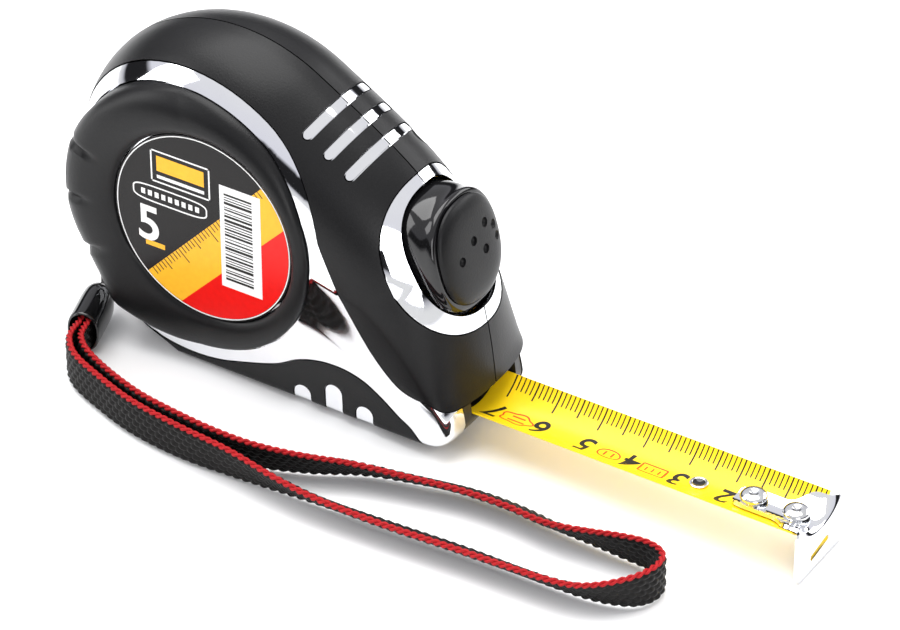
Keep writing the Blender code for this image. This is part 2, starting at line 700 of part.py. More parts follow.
def make_lock():
    long, wide, neck = LOCK_LONG - LOCK_FIT, LOCK_WIDE - LOCK_FIT, LOCK_NECK - 0.55
    face = (FACE_SHIFT, FACE_TILT)
    skirt = [(-SKIRT_DEPTH, long, neck), (1.0 - NECK_DEPTH - LOCK_FIT, long, neck)]
    skirt += [(1.8 - NECK_DEPTH, long, wide), (-1.8, long, wide)]
    skirt += [(FACE_HIGH - 1.0, FACE_LONG, FACE_WIDE, *face)]
    skirt += [(FACE_HIGH - 0.2, FACE_LONG - 0.4, FACE_WIDE - 0.4, *face)]
    skirt += [(FACE_HIGH + 0.2, FACE_LONG - 1.1, FACE_WIDE - 1.1, *face)]
    button = add("lock_button", *lock_plug(skirt), "gloss_black", PIVOT)
    inner = [(-SKIRT_DEPTH - 2, long - 1.5, neck - 1.5), (-3.4, long - 1.9, neck - 1.8)]
    boolean(button, cutter("button_hollow", lock_plug(inner)))
    hole = lathe([(PIN_R + GAP, -20), (PIN_R + GAP, 20)], PIVOT, steps=16)
    boolean(button, cutter("button_pin_hole", hole))
    base = FACE_HIGH + 0.5
    cap = [(base, FACE_LONG - 1.3, FACE_WIDE - 1.3, *face)]
    cap += [(base + 0.6, FACE_LONG - 1.6, FACE_WIDE - 1.6, *face)]
    cap += [(base + 1.2, FACE_LONG - 3.0, FACE_WIDE - 3.0, *face)]
    cap += [(base + 1.6, FACE_LONG - 5.6, FACE_WIDE - 5.6, *face)]
    pad = add("thumb_pad", *lock_plug(cap), "rubber", PIVOT)
    lean = math.radians(FACE_TILT)
    along = LOCK_T * math.cos(lean) + LOCK_N * math.sin(lean)
    out = LOCK_N * math.cos(lean) - LOCK_T * math.sin(lean)
    middle = LOCK_AT + LOCK_N * (base + 1.6) + LOCK_T * FACE_SHIFT
    for k, (t, y) in enumerate(DIMPLES):
        at = middle + along * t + np.array([0, y, 0]) + out * 0.1
        shape = lathe([(0.75, -0.9), (1.0, -0.5), (1.0, 2.0)], tuple(at), tuple(out), 12)
        boolean(pad, cutter("dimple_%d" % k, shape))
    end = ear_end() - 0.9
    add("lock_pin", *lathe([(PIN_R, -end), (PIN_R, end)], PIVOT, steps=20), "steel")
    # The leg grows from under the button's lower end to a shoe just above the blade
    foot = BLADE_EDGE_Z - BLADE_SAG + 0.85
    line = [(21.6, 21.7), (24.4, 8.0), (24.2, foot + 0.9), (24.2, foot + 0.3), (24.8, foot)]
    line += [(28.6, foot), (29.2, foot + 0.5), (29.0, foot + 1.4), (26.8, 7.4), (24.0, 20.6)]
    add("brake_shoe", *prism_y(line, -2.2, 2.2), "plastic", PIVOT)


def make_screws():
    for k, (x, z) in enumerate(SCREW_AT):
        rows = [(0.5, -7.5), (SCREW_R, -6.8), (SCREW_R, 6.5), (SCREW_HEAD_R, 6.5), (SCREW_HEAD_R, 7.6)]
        rows.append((1.6, 8.1))
        screw = add("case_screw_%d" % (k + 1), *lathe(rows, (x, 0, z), steps=20), "steel")
        for m, (a, b) in enumerate(((1.4, 0.3), (0.3, 1.4))):
            shape = box((x - a, 7.2, z - b), (x + a, 9.5, z + b))
            boolean(screw, cutter("cross_%d_%d" % (k, m), shape))
    face = HALF_T - SHELL_OUT + GAP + LABEL_T + GAP
    side = [(43.0, face), (25.0, face), (21.5, face + 2.9), (10.5, face + 2.9), (6.5, face + 4.6)]
    lows, highs = [], []
    for j, (z, y) in enumerate(side):
        wide = 6.5 if j < 4 else 5.0
        lows.append([(COIL_X - wide, y, z), (COIL_X + wide, y, z)])
        highs.append([(COIL_X - wide, y + 0.9, z), (COIL_X + wide, y + 0.9, z)])
    clip = add("belt_clip", *strip(lows, highs), "steel")
    centre = (COIL_X, 0, COIL_Z)
    boolean(clip, cutter("belt_clip_hole", lathe([(1.7, 10), (1.7, 30)], centre, steps=16)))
    top = face + 0.9 + 0.2
    rows = [(0.7, 6.8), (1.3, 7.4), (1.3, top), (3.0, top), (3.0, top + 0.7), (2.2, top + 1.3)]
    screw = add("belt_clip_screw", *lathe(rows, centre, steps=20), "steel")
    for m, (a, b) in enumerate(((1.8, 0.35), (0.35, 1.8))):
        shape = box((COIL_X - a, top + 0.6, COIL_Z - b), (COIL_X + a, top + 3, COIL_Z + b))
        boolean(screw, cutter("clip_cross_%d" % m, shape))


# Wrist strap: (x, y of the lower edge, lean of the width in degrees towards -Y, width)
STRAP_ROUTE = [
    (-46.3, -20.1, 0, 6.2),
    (-44.8, -24.3, 0, 6.2),
    (-43.9, -27.4, 0, 7.6),
    (-42.2, -31.0, 0, 8.4),
    (-38.4, -34.5, 0, 8.4),
    (-31.8, -37.4, 0, 8.4),
    (-21.0, -40.8, 1, 8.4),
    (-9.0, -42.3, 4, 8.4),
    (3.0, -41.9, 15, 8.4),
    (14.0, -40.9, 34, 8.4),
    (24.0, -40.0, 46, 8.4),
    (38.0, -39.0, 51, 8.4),
    (52.0, -38.1, 51, 8.4),
    (64.0, -38.0, 48, 8.4),
    (72.0, -38.0, 45, 8.4),
    (78.0, -37.7, 40, 8.4),
    (83.0, -36.8, 27, 8.4),
    (86.8, -34.9, 11, 8.4),
    (88.5, -31.6, 0, 8.4),
    (87.6, -27.6, 2, 8.4),
    (83.6, -24.8, 12, 8.4),
    (78.0, -24.2, 22, 8.4),
    (71.5, -23.7, 36, 8.4),
    (63.5, -23.2, 48, 8.4),
    (54.0, -22.2, 51, 8.4),
    (44.0, -22.6, 52, 8.4),
    (33.0, -25.2, 49, 8.4),
    (23.8, -28.2, 43, 8.4),
    (14.8, -33.2, 32, 8.4),
    (6.0, -36.8, 22, 8.4),
    (-3.0, -38.8, 11, 8.4),
    (-12.0, -39.3, 2, 8.4),
    (-21.0, -38.2, 0, 8.4),
    (-30.0, -35.4, 0, 8.4),
    (-36.8, -32.4, 0, 8.4),
    (-40.4, -29.6, 0, 8.2),
    (-42.1, -27.0, 0, 7.2),
    (-43.3, -23.8, 0, 6.2),
    (-44.7, -19.6, 0, 6.2),
]


def along_route(rows, per_step=4):
    """Catmull-Rom points through the route's rows."""
    table = np.array(rows, float)
    table = np.vstack([2 * table[0] - table[1], table, 2 * table[-1] - table[-2]])
    out = []
    for j in range(1, len(table) - 2):
        a, b, c, d = table[j - 1:j + 3]
        for k in range(per_step):
            t = k / per_step
            cubic = (2 * a - 5 * b + 4 * c - d) * t**2 + (3 * b - a - 3 * c + d) * t**3
            out.append(b + ((c - a) * t + cubic) / 2)
    out.append(table[-2])
    return np.array(out)


def make_strap():
    rows = along_route(STRAP_ROUTE, 3)
    ahead = np.gradient(rows[:, :2], axis=0)
    ahead /= np.linalg.norm(ahead, axis=1)[:, None]
    loops = []
    for (x, y, tilt, width), d in zip(rows, ahead):
        lean = math.radians(tilt)
        up = np.array([0, -math.sin(lean), math.cos(lean)])
        out = np.cross(np.array([d[0], d[1], 0]), up)
        out /= np.linalg.norm(out)
        rise = STRAP_Z if width > 8.3 else STRAP_Z + (8.4 - width) / 2
        at = np.array([x, y, rise + STRAP_T / 2 * math.sin(lean)])
        at = at + np.array(STRAP_FALL) * (x - REST_EDGE_X)
        side = STRAP_T / 2 * out
        loops.append([tuple(p) for p in (at - side, at + up * width - side, at + up * width + side, at + side)])
    add("wrist_strap", *loft(loops), "fabric")


def tube(line, radius, steps=8):
    """A round tube along a line of points, closed at both ends."""
    loops = []
    up = Vector((0.3, 0.2, 1.0))
    ahead_all = np.gradient(np.array(line), axis=0)
    for at, ahead in zip(line, ahead_all):
        ahead = Vector(ahead).normalized()
        up = (up - ahead * up.dot(ahead)).normalized()
        side = ahead.cross(up)
        loop = []
        for k in range(steps):
            a = 2 * math.pi * k / steps
            loop.append(tuple(Vector(at) + (up * math.cos(a) + side * math.sin(a)) * radius))
        loops.append(loop)
    return loft(loops)


def oval(at, across, half_wide, half_high, steps=28, power=2.3):
    loop = []
    for k in range(steps):
        a = 2 * math.pi * k / steps
        c, s = math.cos(a), math.sin(a)
        w = math.copysign(abs(c) ** (2 / power), c) * half_wide
        h = math.copysign(abs(s) ** (2 / power), s) * half_high
        loop.append(tuple(at + across * w + np.array([0, 0, h])))
    return loop


def make_clip():
    """Ferrule that takes both ends of the strap, and the string that ties it on."""
    mouth = np.array([-43.9, -24.6, CLIP_Z])
    tail = np.array([-48.2, -11.6, CLIP_Z])
    long = float(np.linalg.norm(tail - mouth))
    axis = (tail - mouth) / long
    across = np.array([axis[1], -axis[0], 0])
    rows = [(0.0, 3.1, 4.4), (0.8, 3.2, 4.5), (long - 4.6, 3.2, 4.5), (long - 2.2, 2.8, 3.9)]
    rows += [(long - 0.8, 2.3, 2.9), (long, 1.7, 1.9)]
    skin = [oval(mouth + axis * t, across, a, b) for t, a, b in rows]
    clip = add("strap_clip", *loft(skin), "gloss_black")
    hollow = [oval(mouth + axis * t, across, 2.75, 4.05) for t in (-2.0, 8.2)]
    boolean(clip, cutter("clip_hollow", loft(hollow)))
    bore = lathe([(1.35, -4.2), (1.35, 2)], tuple(tail), tuple(axis), 20)
    boolean(clip, cutter("clip_bore", bore))
    # One length of string: out of the ferrule, through the lug and back
    spots = [tail - axis * 3.2 - across * 0.62, tail - across * 0.62]
    spots += [tail + axis * 2.4 + np.array([-0.9, 0, 2.2]), LUG_AT + np.array([0.6, -5.0, -3.4])]
    spots += [LUG_AT + np.array([0.1, -3.0, -0.3]), LUG_AT + np.array([0, -0.9, 0])]
    spots += [LUG_AT + np.array([-0.7, 1.2, -0.4]), LUG_AT + np.array([-3.0, 0.6, -1.9])]
    spots += [LUG_AT + np.array([-2.2, -3.0, -5.6]), tail + axis * 2.6 + np.array([0.5, 0, 1.0])]
    spots += [tail + across * 0.62, tail - axis * 3.2 + across * 0.62]
    add("strap_string", *tube(along_route(spots, 4), STRING_R), "fabric")


def tidy_mesh(work):
    """Joins points that a Boolean left side by side and drops slivers folded onto each other."""
    bmesh.ops.triangulate(work, faces=work.faces, quad_method="BEAUTY", ngon_method="BEAUTY")
    bmesh.ops.remove_doubles(work, verts=work.verts, dist=WELD_AT)
    bmesh.ops.dissolve_degenerate(work, edges=work.edges, dist=WELD_AT)
    bmesh.ops.triangulate(work, faces=work.faces, quad_method="BEAUTY", ngon_method="BEAUTY")
    loose = [f for f in work.faces if all(len(e.link_faces) == 1 for e in f.edges)]
    seen = {}
    for face in work.faces:
        key = frozenset(v.index for v in face.verts)
        seen.setdefault(key, []).append(face)
    for group in seen.values():
        if len(group) > 1:
            loose += group
    bmesh.ops.delete(work, geom=list(set(loose)), context="FACES")
    rims = [e for e in work.edges if len(e.link_faces) == 1]
    filled = bmesh.ops.holes_fill(work, edges=rims, sides=6)["faces"]
    bmesh.ops.triangulate(work, faces=filled)


def finish_meshes():
    """Bakes the Booleans of every part into a tidy mesh of its own."""
    bpy.context.view_layer.update()
    graph = bpy.context.evaluated_depsgraph_get()
    for obj in PART.objects:
        if not obj.modifiers:
            continue
        baked = bpy.data.meshes.new_from_object(obj.evaluated_get(graph))
        work = bmesh.new()
        work.from_mesh(baked)
        work.verts.index_update()
        tidy_mesh(work)
        work.to_mesh(baked)
        work.free()
        obj.modifiers.clear()
        obj.data = baked


make_case()
make_sides()
make_blade()
make_hook()
make_mouth()
make_coil()
make_lock()
make_screws()
make_strap()
make_clip()
finish_meshes()
bpy.context.view_layer.update()
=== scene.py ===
"""Looks for the pocket tape measure: smooth skins, plated trim, printed blade, label, woven strap."""

import math

import bmesh
import bpy
import numpy as np
from mathutils import Vector, kdtree
from mathutils.bvhtree import BVHTree
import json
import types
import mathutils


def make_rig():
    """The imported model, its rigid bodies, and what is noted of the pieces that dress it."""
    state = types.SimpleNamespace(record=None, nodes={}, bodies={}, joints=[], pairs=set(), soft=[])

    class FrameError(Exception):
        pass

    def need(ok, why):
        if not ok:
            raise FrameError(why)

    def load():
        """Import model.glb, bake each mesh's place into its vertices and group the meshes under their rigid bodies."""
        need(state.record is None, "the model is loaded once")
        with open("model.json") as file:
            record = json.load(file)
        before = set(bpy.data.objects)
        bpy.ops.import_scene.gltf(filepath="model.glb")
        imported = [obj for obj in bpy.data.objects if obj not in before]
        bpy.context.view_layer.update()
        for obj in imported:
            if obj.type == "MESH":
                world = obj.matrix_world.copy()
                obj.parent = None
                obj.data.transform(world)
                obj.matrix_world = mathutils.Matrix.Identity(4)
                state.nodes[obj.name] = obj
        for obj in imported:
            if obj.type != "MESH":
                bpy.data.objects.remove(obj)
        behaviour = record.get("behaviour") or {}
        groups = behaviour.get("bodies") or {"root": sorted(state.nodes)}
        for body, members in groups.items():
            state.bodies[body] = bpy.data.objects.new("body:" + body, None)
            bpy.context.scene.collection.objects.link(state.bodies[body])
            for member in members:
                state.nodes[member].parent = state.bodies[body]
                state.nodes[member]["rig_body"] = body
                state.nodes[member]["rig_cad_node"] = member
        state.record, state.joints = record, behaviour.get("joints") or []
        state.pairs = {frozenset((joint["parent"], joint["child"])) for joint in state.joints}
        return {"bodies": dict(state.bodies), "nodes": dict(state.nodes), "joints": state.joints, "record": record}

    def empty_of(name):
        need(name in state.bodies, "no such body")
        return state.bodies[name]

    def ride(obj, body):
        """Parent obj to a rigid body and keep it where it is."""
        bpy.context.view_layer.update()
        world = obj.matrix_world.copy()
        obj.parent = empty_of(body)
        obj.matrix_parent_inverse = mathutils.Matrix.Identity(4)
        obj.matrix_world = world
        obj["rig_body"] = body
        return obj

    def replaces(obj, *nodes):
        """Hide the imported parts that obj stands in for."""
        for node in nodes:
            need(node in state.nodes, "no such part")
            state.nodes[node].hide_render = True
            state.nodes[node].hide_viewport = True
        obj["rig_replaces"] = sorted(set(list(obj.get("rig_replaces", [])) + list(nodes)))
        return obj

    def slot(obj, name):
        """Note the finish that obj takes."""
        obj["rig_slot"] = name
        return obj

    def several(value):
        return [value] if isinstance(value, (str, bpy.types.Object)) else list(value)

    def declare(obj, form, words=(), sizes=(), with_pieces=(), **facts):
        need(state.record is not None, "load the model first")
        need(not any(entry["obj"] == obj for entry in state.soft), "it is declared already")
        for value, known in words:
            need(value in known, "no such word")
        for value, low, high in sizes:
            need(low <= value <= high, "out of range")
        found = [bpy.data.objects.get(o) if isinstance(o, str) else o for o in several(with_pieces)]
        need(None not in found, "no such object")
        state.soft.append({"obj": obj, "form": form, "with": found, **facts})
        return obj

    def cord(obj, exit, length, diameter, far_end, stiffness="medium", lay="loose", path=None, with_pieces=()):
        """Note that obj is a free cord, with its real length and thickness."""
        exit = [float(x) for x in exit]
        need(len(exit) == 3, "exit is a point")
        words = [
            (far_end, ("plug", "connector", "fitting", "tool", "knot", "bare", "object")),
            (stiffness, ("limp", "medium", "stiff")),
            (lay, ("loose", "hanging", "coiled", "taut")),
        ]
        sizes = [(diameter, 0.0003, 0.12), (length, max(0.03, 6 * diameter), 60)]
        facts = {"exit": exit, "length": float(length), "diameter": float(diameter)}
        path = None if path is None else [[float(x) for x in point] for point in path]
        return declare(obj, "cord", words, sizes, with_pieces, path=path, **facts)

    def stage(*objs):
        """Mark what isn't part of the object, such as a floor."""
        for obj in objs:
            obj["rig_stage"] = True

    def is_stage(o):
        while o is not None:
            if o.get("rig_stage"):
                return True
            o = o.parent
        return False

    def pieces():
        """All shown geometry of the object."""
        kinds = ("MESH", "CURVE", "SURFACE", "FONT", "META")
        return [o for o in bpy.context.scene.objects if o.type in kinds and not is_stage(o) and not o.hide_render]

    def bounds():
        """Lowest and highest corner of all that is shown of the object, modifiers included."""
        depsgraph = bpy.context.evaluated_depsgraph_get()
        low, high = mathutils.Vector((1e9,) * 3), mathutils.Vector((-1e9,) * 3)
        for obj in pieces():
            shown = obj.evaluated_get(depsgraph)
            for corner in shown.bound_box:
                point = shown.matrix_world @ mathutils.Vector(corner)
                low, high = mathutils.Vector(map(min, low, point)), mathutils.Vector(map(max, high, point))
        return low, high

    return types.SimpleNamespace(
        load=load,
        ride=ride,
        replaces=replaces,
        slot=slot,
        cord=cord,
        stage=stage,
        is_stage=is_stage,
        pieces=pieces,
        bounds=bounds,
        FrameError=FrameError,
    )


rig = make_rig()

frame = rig.load()
CAD_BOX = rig.bounds()
MM = 0.001

# Camera, at the photograph's viewing angle, aimed at a point in metres
AZ, EL, DIST = math.radians(32.334), math.radians(35.447), 0.9
AIM = Vector((0.02438, 0.0, 0.02044))
cam = bpy.data.cameras.new("camera")
cam.lens, cam.sensor_width = 191.2, 36.0
cam.clip_start, cam.clip_end = 0.05, 20
camera = bpy.data.objects.new("camera", cam)
bpy.context.scene.collection.objects.link(camera)
away = Vector((math.sin(AZ) * math.cos(EL), -math.cos(AZ) * math.cos(EL), math.sin(EL)))
camera.location = AIM + away * DIST
camera.rotation_euler = away.to_track_quat("Z", "Y").to_euler()
bpy.context.scene.camera = camera
bpy.context.scene.view_settings.view_transform = "Standard"

# Sizes in mm, the same as the CAD
BODY_R, BODY_X, BODY_Z, NOSE_X, TOE_R = 34.5, -22.0, 34.5, 34.7, 6.0
MOUTH_TOP, CREST, LOWER_PULL, UPPER_PULL = 8.8, 59.5, 34.0, 31.0
BASE_HALF = NOSE_X - TOE_R
HALF_T, FOOT_HALF, DOME_W, FOOT_W = 17.0, 15.0, 16.0, 2.5
DOME_POWER, FOOT_POWER, FLAT_R = 1.9, 6.0, 14.0
SKIN_T, HALF_GAP, GAP, SHELL_OUT, SHELL_IN = 0.6, 0.15, 0.3, 0.9, 2.1
RING_X, RING_Z, RING_R = -24.4, 33.2, 28.2
LABEL_X, LABEL_Z, LABEL_R = -20.0, 33.6, 20.1
LABEL_T, PRINT_R, RIM_R = 0.5, 19.45, 19.65
BAND_R = 31.3
BLADE_CHORD, BLADE_SAG, BLADE_T, BLADE_EDGE_Z = 14.7, 3.4, 0.25, 6.2
BLADE_IN_X, BLADE_OUT_X = 31.0, 102.6
MOUTH_HALF, MOUTH_IN_X = 10.3, 24.0
HOOK_X, HOOK_T, HOOK_HALF, HOOK_LOW = 104.2, 0.7, 8.9, -4.7
TAB_IN_X, TAB_HALF, RIVET_X, RIVET_R = 87.0, 3.3, (90.6, 99.6), 1.2
LOCK_LEAN, LOCK_LONG, LOCK_WIDE, LOCK_NECK, NECK_DEPTH = 29.2, 13.3, 11.2, 9.9, 5.6
FACE = (1.3, -13.8)
FACE_HIGH, FACE_LONG, FACE_WIDE = 2.3, 11.6, 10.9
SURROUND = (16.1, 14.6, 0.5)
SCREW_AT = ((10.0, 49.4), (14.0, 17.4), (BODY_X - 27.4, BODY_Z - 4.8))
BARS = [(1.6, 61.1), (6.2, 58.2), (10.8, 55.2)]
WINDOWS = [(0.6, 4.2), (7.8, 7.1), (14.7, 4.6)]
DIMPLES = [(-3.0, 4.5), (-1.4, 0.0), (0.6, -4.6), (1.8, 3.0), (-1.2, 7.2), (1.4, 7.6)]

# Sizes of the finer surfaces alone, in mm, and the two halves
TRIM_OUT, TRIM_IN, TRIM_GAP = 0.12, 1.2, 0.28
CUT_FAR = 30
SIDES = ((-1, "left"), (1, "right"))
SCREW_HOLE_R, SCREW_HOLE_Y = 2.5, 6.3
FIGURE_ZERO_X = 105.0
BEND_X, BLADE_RIVET_X, SLOT_R = 102.9, 79.0, 1.45


# Materials


def material(name, colour, metal, rough, grain, bump=0.0, tint=None, spec=0.5):
    """Principled shader with noise in its roughness, its bump and a little in its colour."""
    made = bpy.data.materials.new(name)
    made.use_nodes = True
    tree = made.node_tree
    add, link = tree.nodes.new, tree.links.new
    shader = tree.nodes["Principled BSDF"]
    shader.inputs["Metallic"].default_value = metal
    shader.inputs["Specular IOR Level"].default_value = spec
    place = add("ShaderNodeTexCoord")
    noises = []
    for scale, detail in ((grain, 3.0), (70.0, 4.0)):
        noise = add("ShaderNodeTexNoise")
        noise.inputs["Scale"].default_value = scale
        noise.inputs["Detail"].default_value = detail
        link(place.outputs["Object"], noise.inputs["Vector"])
        noises.append(noise.outputs["Fac"])
    fine, wide = noises
    spread = add("ShaderNodeMapRange")
    spread.inputs["To Min"].default_value, spread.inputs["To Max"].default_value = rough
    link(wide, spread.inputs["Value"])
    link(spread.outputs["Result"], shader.inputs["Roughness"])
    mix = add("ShaderNodeMix")
    mix.data_type = "RGBA"
    mix.inputs[6].default_value = (*colour, 1)
    mix.inputs[7].default_value = (*(tint or tuple(c * 0.82 for c in colour)), 1)
    link(fine, mix.inputs[0])
    link(mix.outputs[2], shader.inputs["Base Color"])
    if bump:
        lift = add("ShaderNodeBump")
        lift.inputs["Strength"].default_value = 0.5
        lift.inputs["Distance"].default_value = bump * MM
        link(fine, lift.inputs["Height"])
        link(lift.outputs["Normal"], shader.inputs["Normal"])
    made.diffuse_color = (*colour, 1)
    return made


CHROME = material("chrome_plate", (0.90, 0.91, 0.93), 1.0, (0.03, 0.07), 500, tint=(0.86, 0.87, 0.90))
RUBBER = material("soft_black", (0.007, 0.007, 0.0075), 0.0, (0.32, 0.42), 2600, 0.05,
                  tint=(0.004, 0.004, 0.0045), spec=0.22)
GLOSS = material("gloss_black", (0.006, 0.006, 0.0065), 0.0, (0.06, 0.11), 700)
PLASTIC = material("dark_plastic", (0.010, 0.010, 0.011), 0.0, (0.3, 0.42), 1800, 0.02)
YELLOW = material("yellow_enamel", (0.95, 0.66, 0.008), 0.0, (0.26, 0.34), 1500,
                  tint=(0.90, 0.60, 0.010), spec=0.3)
INK = material("black_ink", (0.010, 0.009, 0.007), 0.0, (0.35, 0.45), 1500, spec=0.25)
RED_INK = material("red_ink", (0.72, 0.07, 0.008), 0.0, (0.35, 0.45), 1500, spec=0.25)
STEEL = material("bright_steel", (0.78, 0.79, 0.80), 1.0, (0.10, 0.2), 1200)
BLUED = material("blue_steel", (0.20, 0.22, 0.28), 1.0, (0.25, 0.4), 900)
LABEL_BLACK = material("label_black", (0.007, 0.006, 0.006), 0.0, (0.2, 0.3), 900, spec=0.2)
LABEL_RED = material("label_red", (0.80, 0.008, 0.006), 0.0, (0.2, 0.3), 900, spec=0.2)
LABEL_YELLOW = material("label_yellow", (0.93, 0.47, 0.03), 0.0, (0.2, 0.3), 900, spec=0.2)
LABEL_WHITE = material("label_white", (0.86, 0.86, 0.85), 0.0, (0.3, 0.4), 900)
WEB = material("black_webbing", (0.003, 0.0028, 0.0028), 0.0, (0.36, 0.5), 3200, 0.08,
               tint=(0.009, 0.008, 0.0075), spec=0.16)
RED_YARN = material("red_yarn", (0.52, 0.012, 0.016), 0.0, (0.6, 0.75), 3000, 0.08,
                    tint=(0.20, 0.006, 0.008), spec=0.2)
CORD = material("black_cord", (0.020, 0.019, 0.019), 0.0, (0.6, 0.75), 3000, 0.06,
                tint=(0.06, 0.055, 0.055))


# Shape helpers


def build(name, points, faces, mat, angle=32.0, flip=True):
    mesh = bpy.data.meshes.new(name)
    mesh.from_pydata([tuple(np.array(p) * MM) for p in points], [], faces)
    work = bmesh.new()
    work.from_mesh(mesh)
    bmesh.ops.remove_doubles(work, verts=work.verts, dist=2e-8)
    if flip:
        bmesh.ops.recalc_face_normals(work, faces=work.faces)
        if work.calc_volume(signed=True) < 0:
            bmesh.ops.reverse_faces(work, faces=work.faces)
    work.to_mesh(mesh)
    work.free()
    obj = bpy.data.objects.new(name, mesh)
    bpy.context.scene.collection.objects.link(obj)
    if mat:
        mesh.materials.append(mat)
    shade(obj, angle)
    return obj


def shade(obj, angle=32.0):
    for face in obj.data.polygons:
        face.use_smooth = True
    obj.data.set_sharp_from_angle(angle=math.radians(angle))


def loft(rings, capped=True):
    count = len(rings[0])
    points = [p for ring in rings for p in ring]
    faces = []
    last = len(rings) - 1 if capped else len(rings)
    for j in range(last):
        a, b = j * count, ((j + 1) % len(rings)) * count
        for k in range(count):
            n = (k + 1) % count
            faces.append((a + k, a + n, b + n, b + k))
    if capped:
        faces.append(tuple(range(count)))
        faces.append(tuple(range((len(rings) - 1) * count, len(rings) * count)))
    return points, faces


def lathe(profile, centre, axis=(0, 1, 0), steps=64):
    axis = Vector(axis).normalized()
    side = axis.orthogonal().normalized()
    other = axis.cross(side)
    rings = []
    for radius, height in profile:
        loop = []
        for k in range(steps):
            a = 2 * math.pi * k / steps
            p = Vector(centre) + axis * height + (side * math.cos(a) + other * math.sin(a)) * radius
            loop.append(tuple(p))
        rings.append(loop)
    return loft(rings)


def prism_y(outline, low, high):
    return loft([[(x, y, z) for x, z in outline] for y in (low, high)])


def box(low, high):
    (a, b, c), (d, e, f) = low, high
    return prism_y([(a, c), (d, c), (d, f), (a, f)], b, e)


def tool(shape):
    return build("tool", *shape, None)


def baked(obj):
    graph = bpy.context.evaluated_depsgraph_get()
    return bpy.data.meshes.new_from_object(obj.evaluated_get(graph))


def cut(obj, others, operation="DIFFERENCE"):
    """Applies Booleans one after the other and removes the tools."""
    for other in others:
        step = obj.modifiers.new("cut", "BOOLEAN")
        step.operation, step.solver, step.object = operation, "EXACT", other
        bpy.context.view_layer.update()
        mesh = baked(obj)
        obj.modifiers.clear()
        obj.data = mesh
    for other in others:
        bpy.data.objects.remove(other)


def smooth(t):
    t = min(max(t, 0.0), 1.0)
    return t * t * (3 - 2 * t)


def spline(a, b, c, d, t):
    """The point at a share t between b and c, on a round curve through all four."""
    return b + ((c - a) * t + (2 * a - 5 * b + 4 * c - d) * t**2 + (3 * b - a - 3 * c + d) * t**3) / 2


def squared(k, steps, power):
    """One of the evenly turned points of a squared-off circle of radius 1."""
    a = 2 * math.pi * k / steps
    c, s = math.cos(a), math.sin(a)
    return math.copysign(abs(c) ** (2 / power), c), math.copysign(abs(s) ** (2 / power), s)


def blade_point(x, a, r):
    """The point at an angle and a radius from the axis that the blade is curled around."""
    return (x, r * math.sin(a), BLADE_AXIS_Z - r * math.cos(a))


# Case surface, as in the CAD but finer


def bezier(a, b, c, d, t):
    s = 1 - t
    return a * s**3 + b * 3 * s * s * t + c * 3 * s * t * t + d * t**3


def case_outline(fine=4):
    rows = []
    n = 8 * fine
    for k in range(n):
        rows.append((-BASE_HALF + 2 * BASE_HALF * k / n, 0.0, FOOT_W, FOOT_HALF))
    n = 3 * fine
    for k in range(n):
        a = math.radians(-90 + 90 * k / n)
        rows.append((BASE_HALF + TOE_R * math.cos(a), TOE_R + TOE_R * math.sin(a), FOOT_W, FOOT_HALF))
    crest = math.radians(CREST)
    top = np.array([BODY_X + BODY_R * math.cos(crest), BODY_Z + BODY_R * math.sin(crest)])
    low = np.array([NOSE_X, MOUTH_TOP])
    up = low + np.array([-0.1, 1.0]) * LOWER_PULL
    over = top + np.array([math.sin(crest), -math.cos(crest)]) * UPPER_PULL
    n = 14 * fine
    for k in range(n):
        x, z = bezier(low, up, over, top, k / n)
        share = min(max((z - 5.0) / 30.0, 0.0), 1.0)
        width = FOOT_W + (DOME_W - FOOT_W) * share
        rows.append((x, z, width, FOOT_HALF + (HALF_T - FOOT_HALF) * share))
    tail = 270 - 2 * math.degrees(math.atan((BODY_X + BASE_HALF) / BODY_R))
    n = 24 * fine
    for k in range(n):
        angle = CREST + (tail - CREST) * k / n
        a = math.radians(angle)
        share = 1 - smooth((angle - 205) / (tail - 205))
        width = FOOT_W + (DOME_W - FOOT_W) * share
        half = FOOT_HALF + (HALF_T - FOOT_HALF) * share
        rows.append((BODY_X + BODY_R * math.cos(a), BODY_Z + BODY_R * math.sin(a), width, half))
    table = np.array(rows)
    lows = np.array([1 - smooth(z / 13.0) for z in table[:, 1]])
    power = DOME_POWER + (FOOT_POWER - DOME_POWER) * lows**2
    level = np.array([1.0 if z < 0.05 else 0.0 for z in table[:, 1]])
    return np.column_stack([table, power, level])


OUTLINE = case_outline()
S_ROWS = (0.0, 0.01, 0.025, 0.05, 0.08, 0.12, 0.17, 0.23, 0.3, 0.38, 0.47, 0.57, 0.68, 0.79, 0.9, 1.0)


def inward(points):
    along = np.roll(points, -1, 0) - np.roll(points, 1, 0)
    along /= np.linalg.norm(along, axis=1)[:, None]
    return np.stack([-along[:, 1], along[:, 0]], 1)


def half_surface(inset, side, seam=HALF_GAP):
    flat = OUTLINE[:, :2]
    normal = inward(flat)
    width, half, power, level = OUTLINE[:, 2:].T
    centre = np.array([BODY_X, BODY_Z])
    out = flat - centre
    target = centre + out / np.linalg.norm(out, axis=1)[:, None] * FLAT_R
    rings = []
    for s in S_ROWS:
        rise = (1 - (1 - s) ** power) ** (1 / power)
        in_by = width * np.where(level > 0, max(s - 0.03, 0.0), s)
        at = flat + normal * (inset + in_by)[:, None]
        y = np.maximum((half - inset) * rise, seam)
        rings.append([(p[0], side * q, p[1]) for p, q in zip(at, y)])
    edge = flat + normal * (inset + width)[:, None]
    for t in (0.2, 0.4, 0.6, 0.8, 1.0):
        at = edge + (target - edge) * t
        y = (half - inset) + (HALF_T - half) * smooth(t)
        rings.append([(p[0], side * q, p[1]) for p, q in zip(at, y)])
    return rings


def half_solid(outer, inner, side):
    return loft(half_surface(outer, side)[::-1] + half_surface(inner, side))


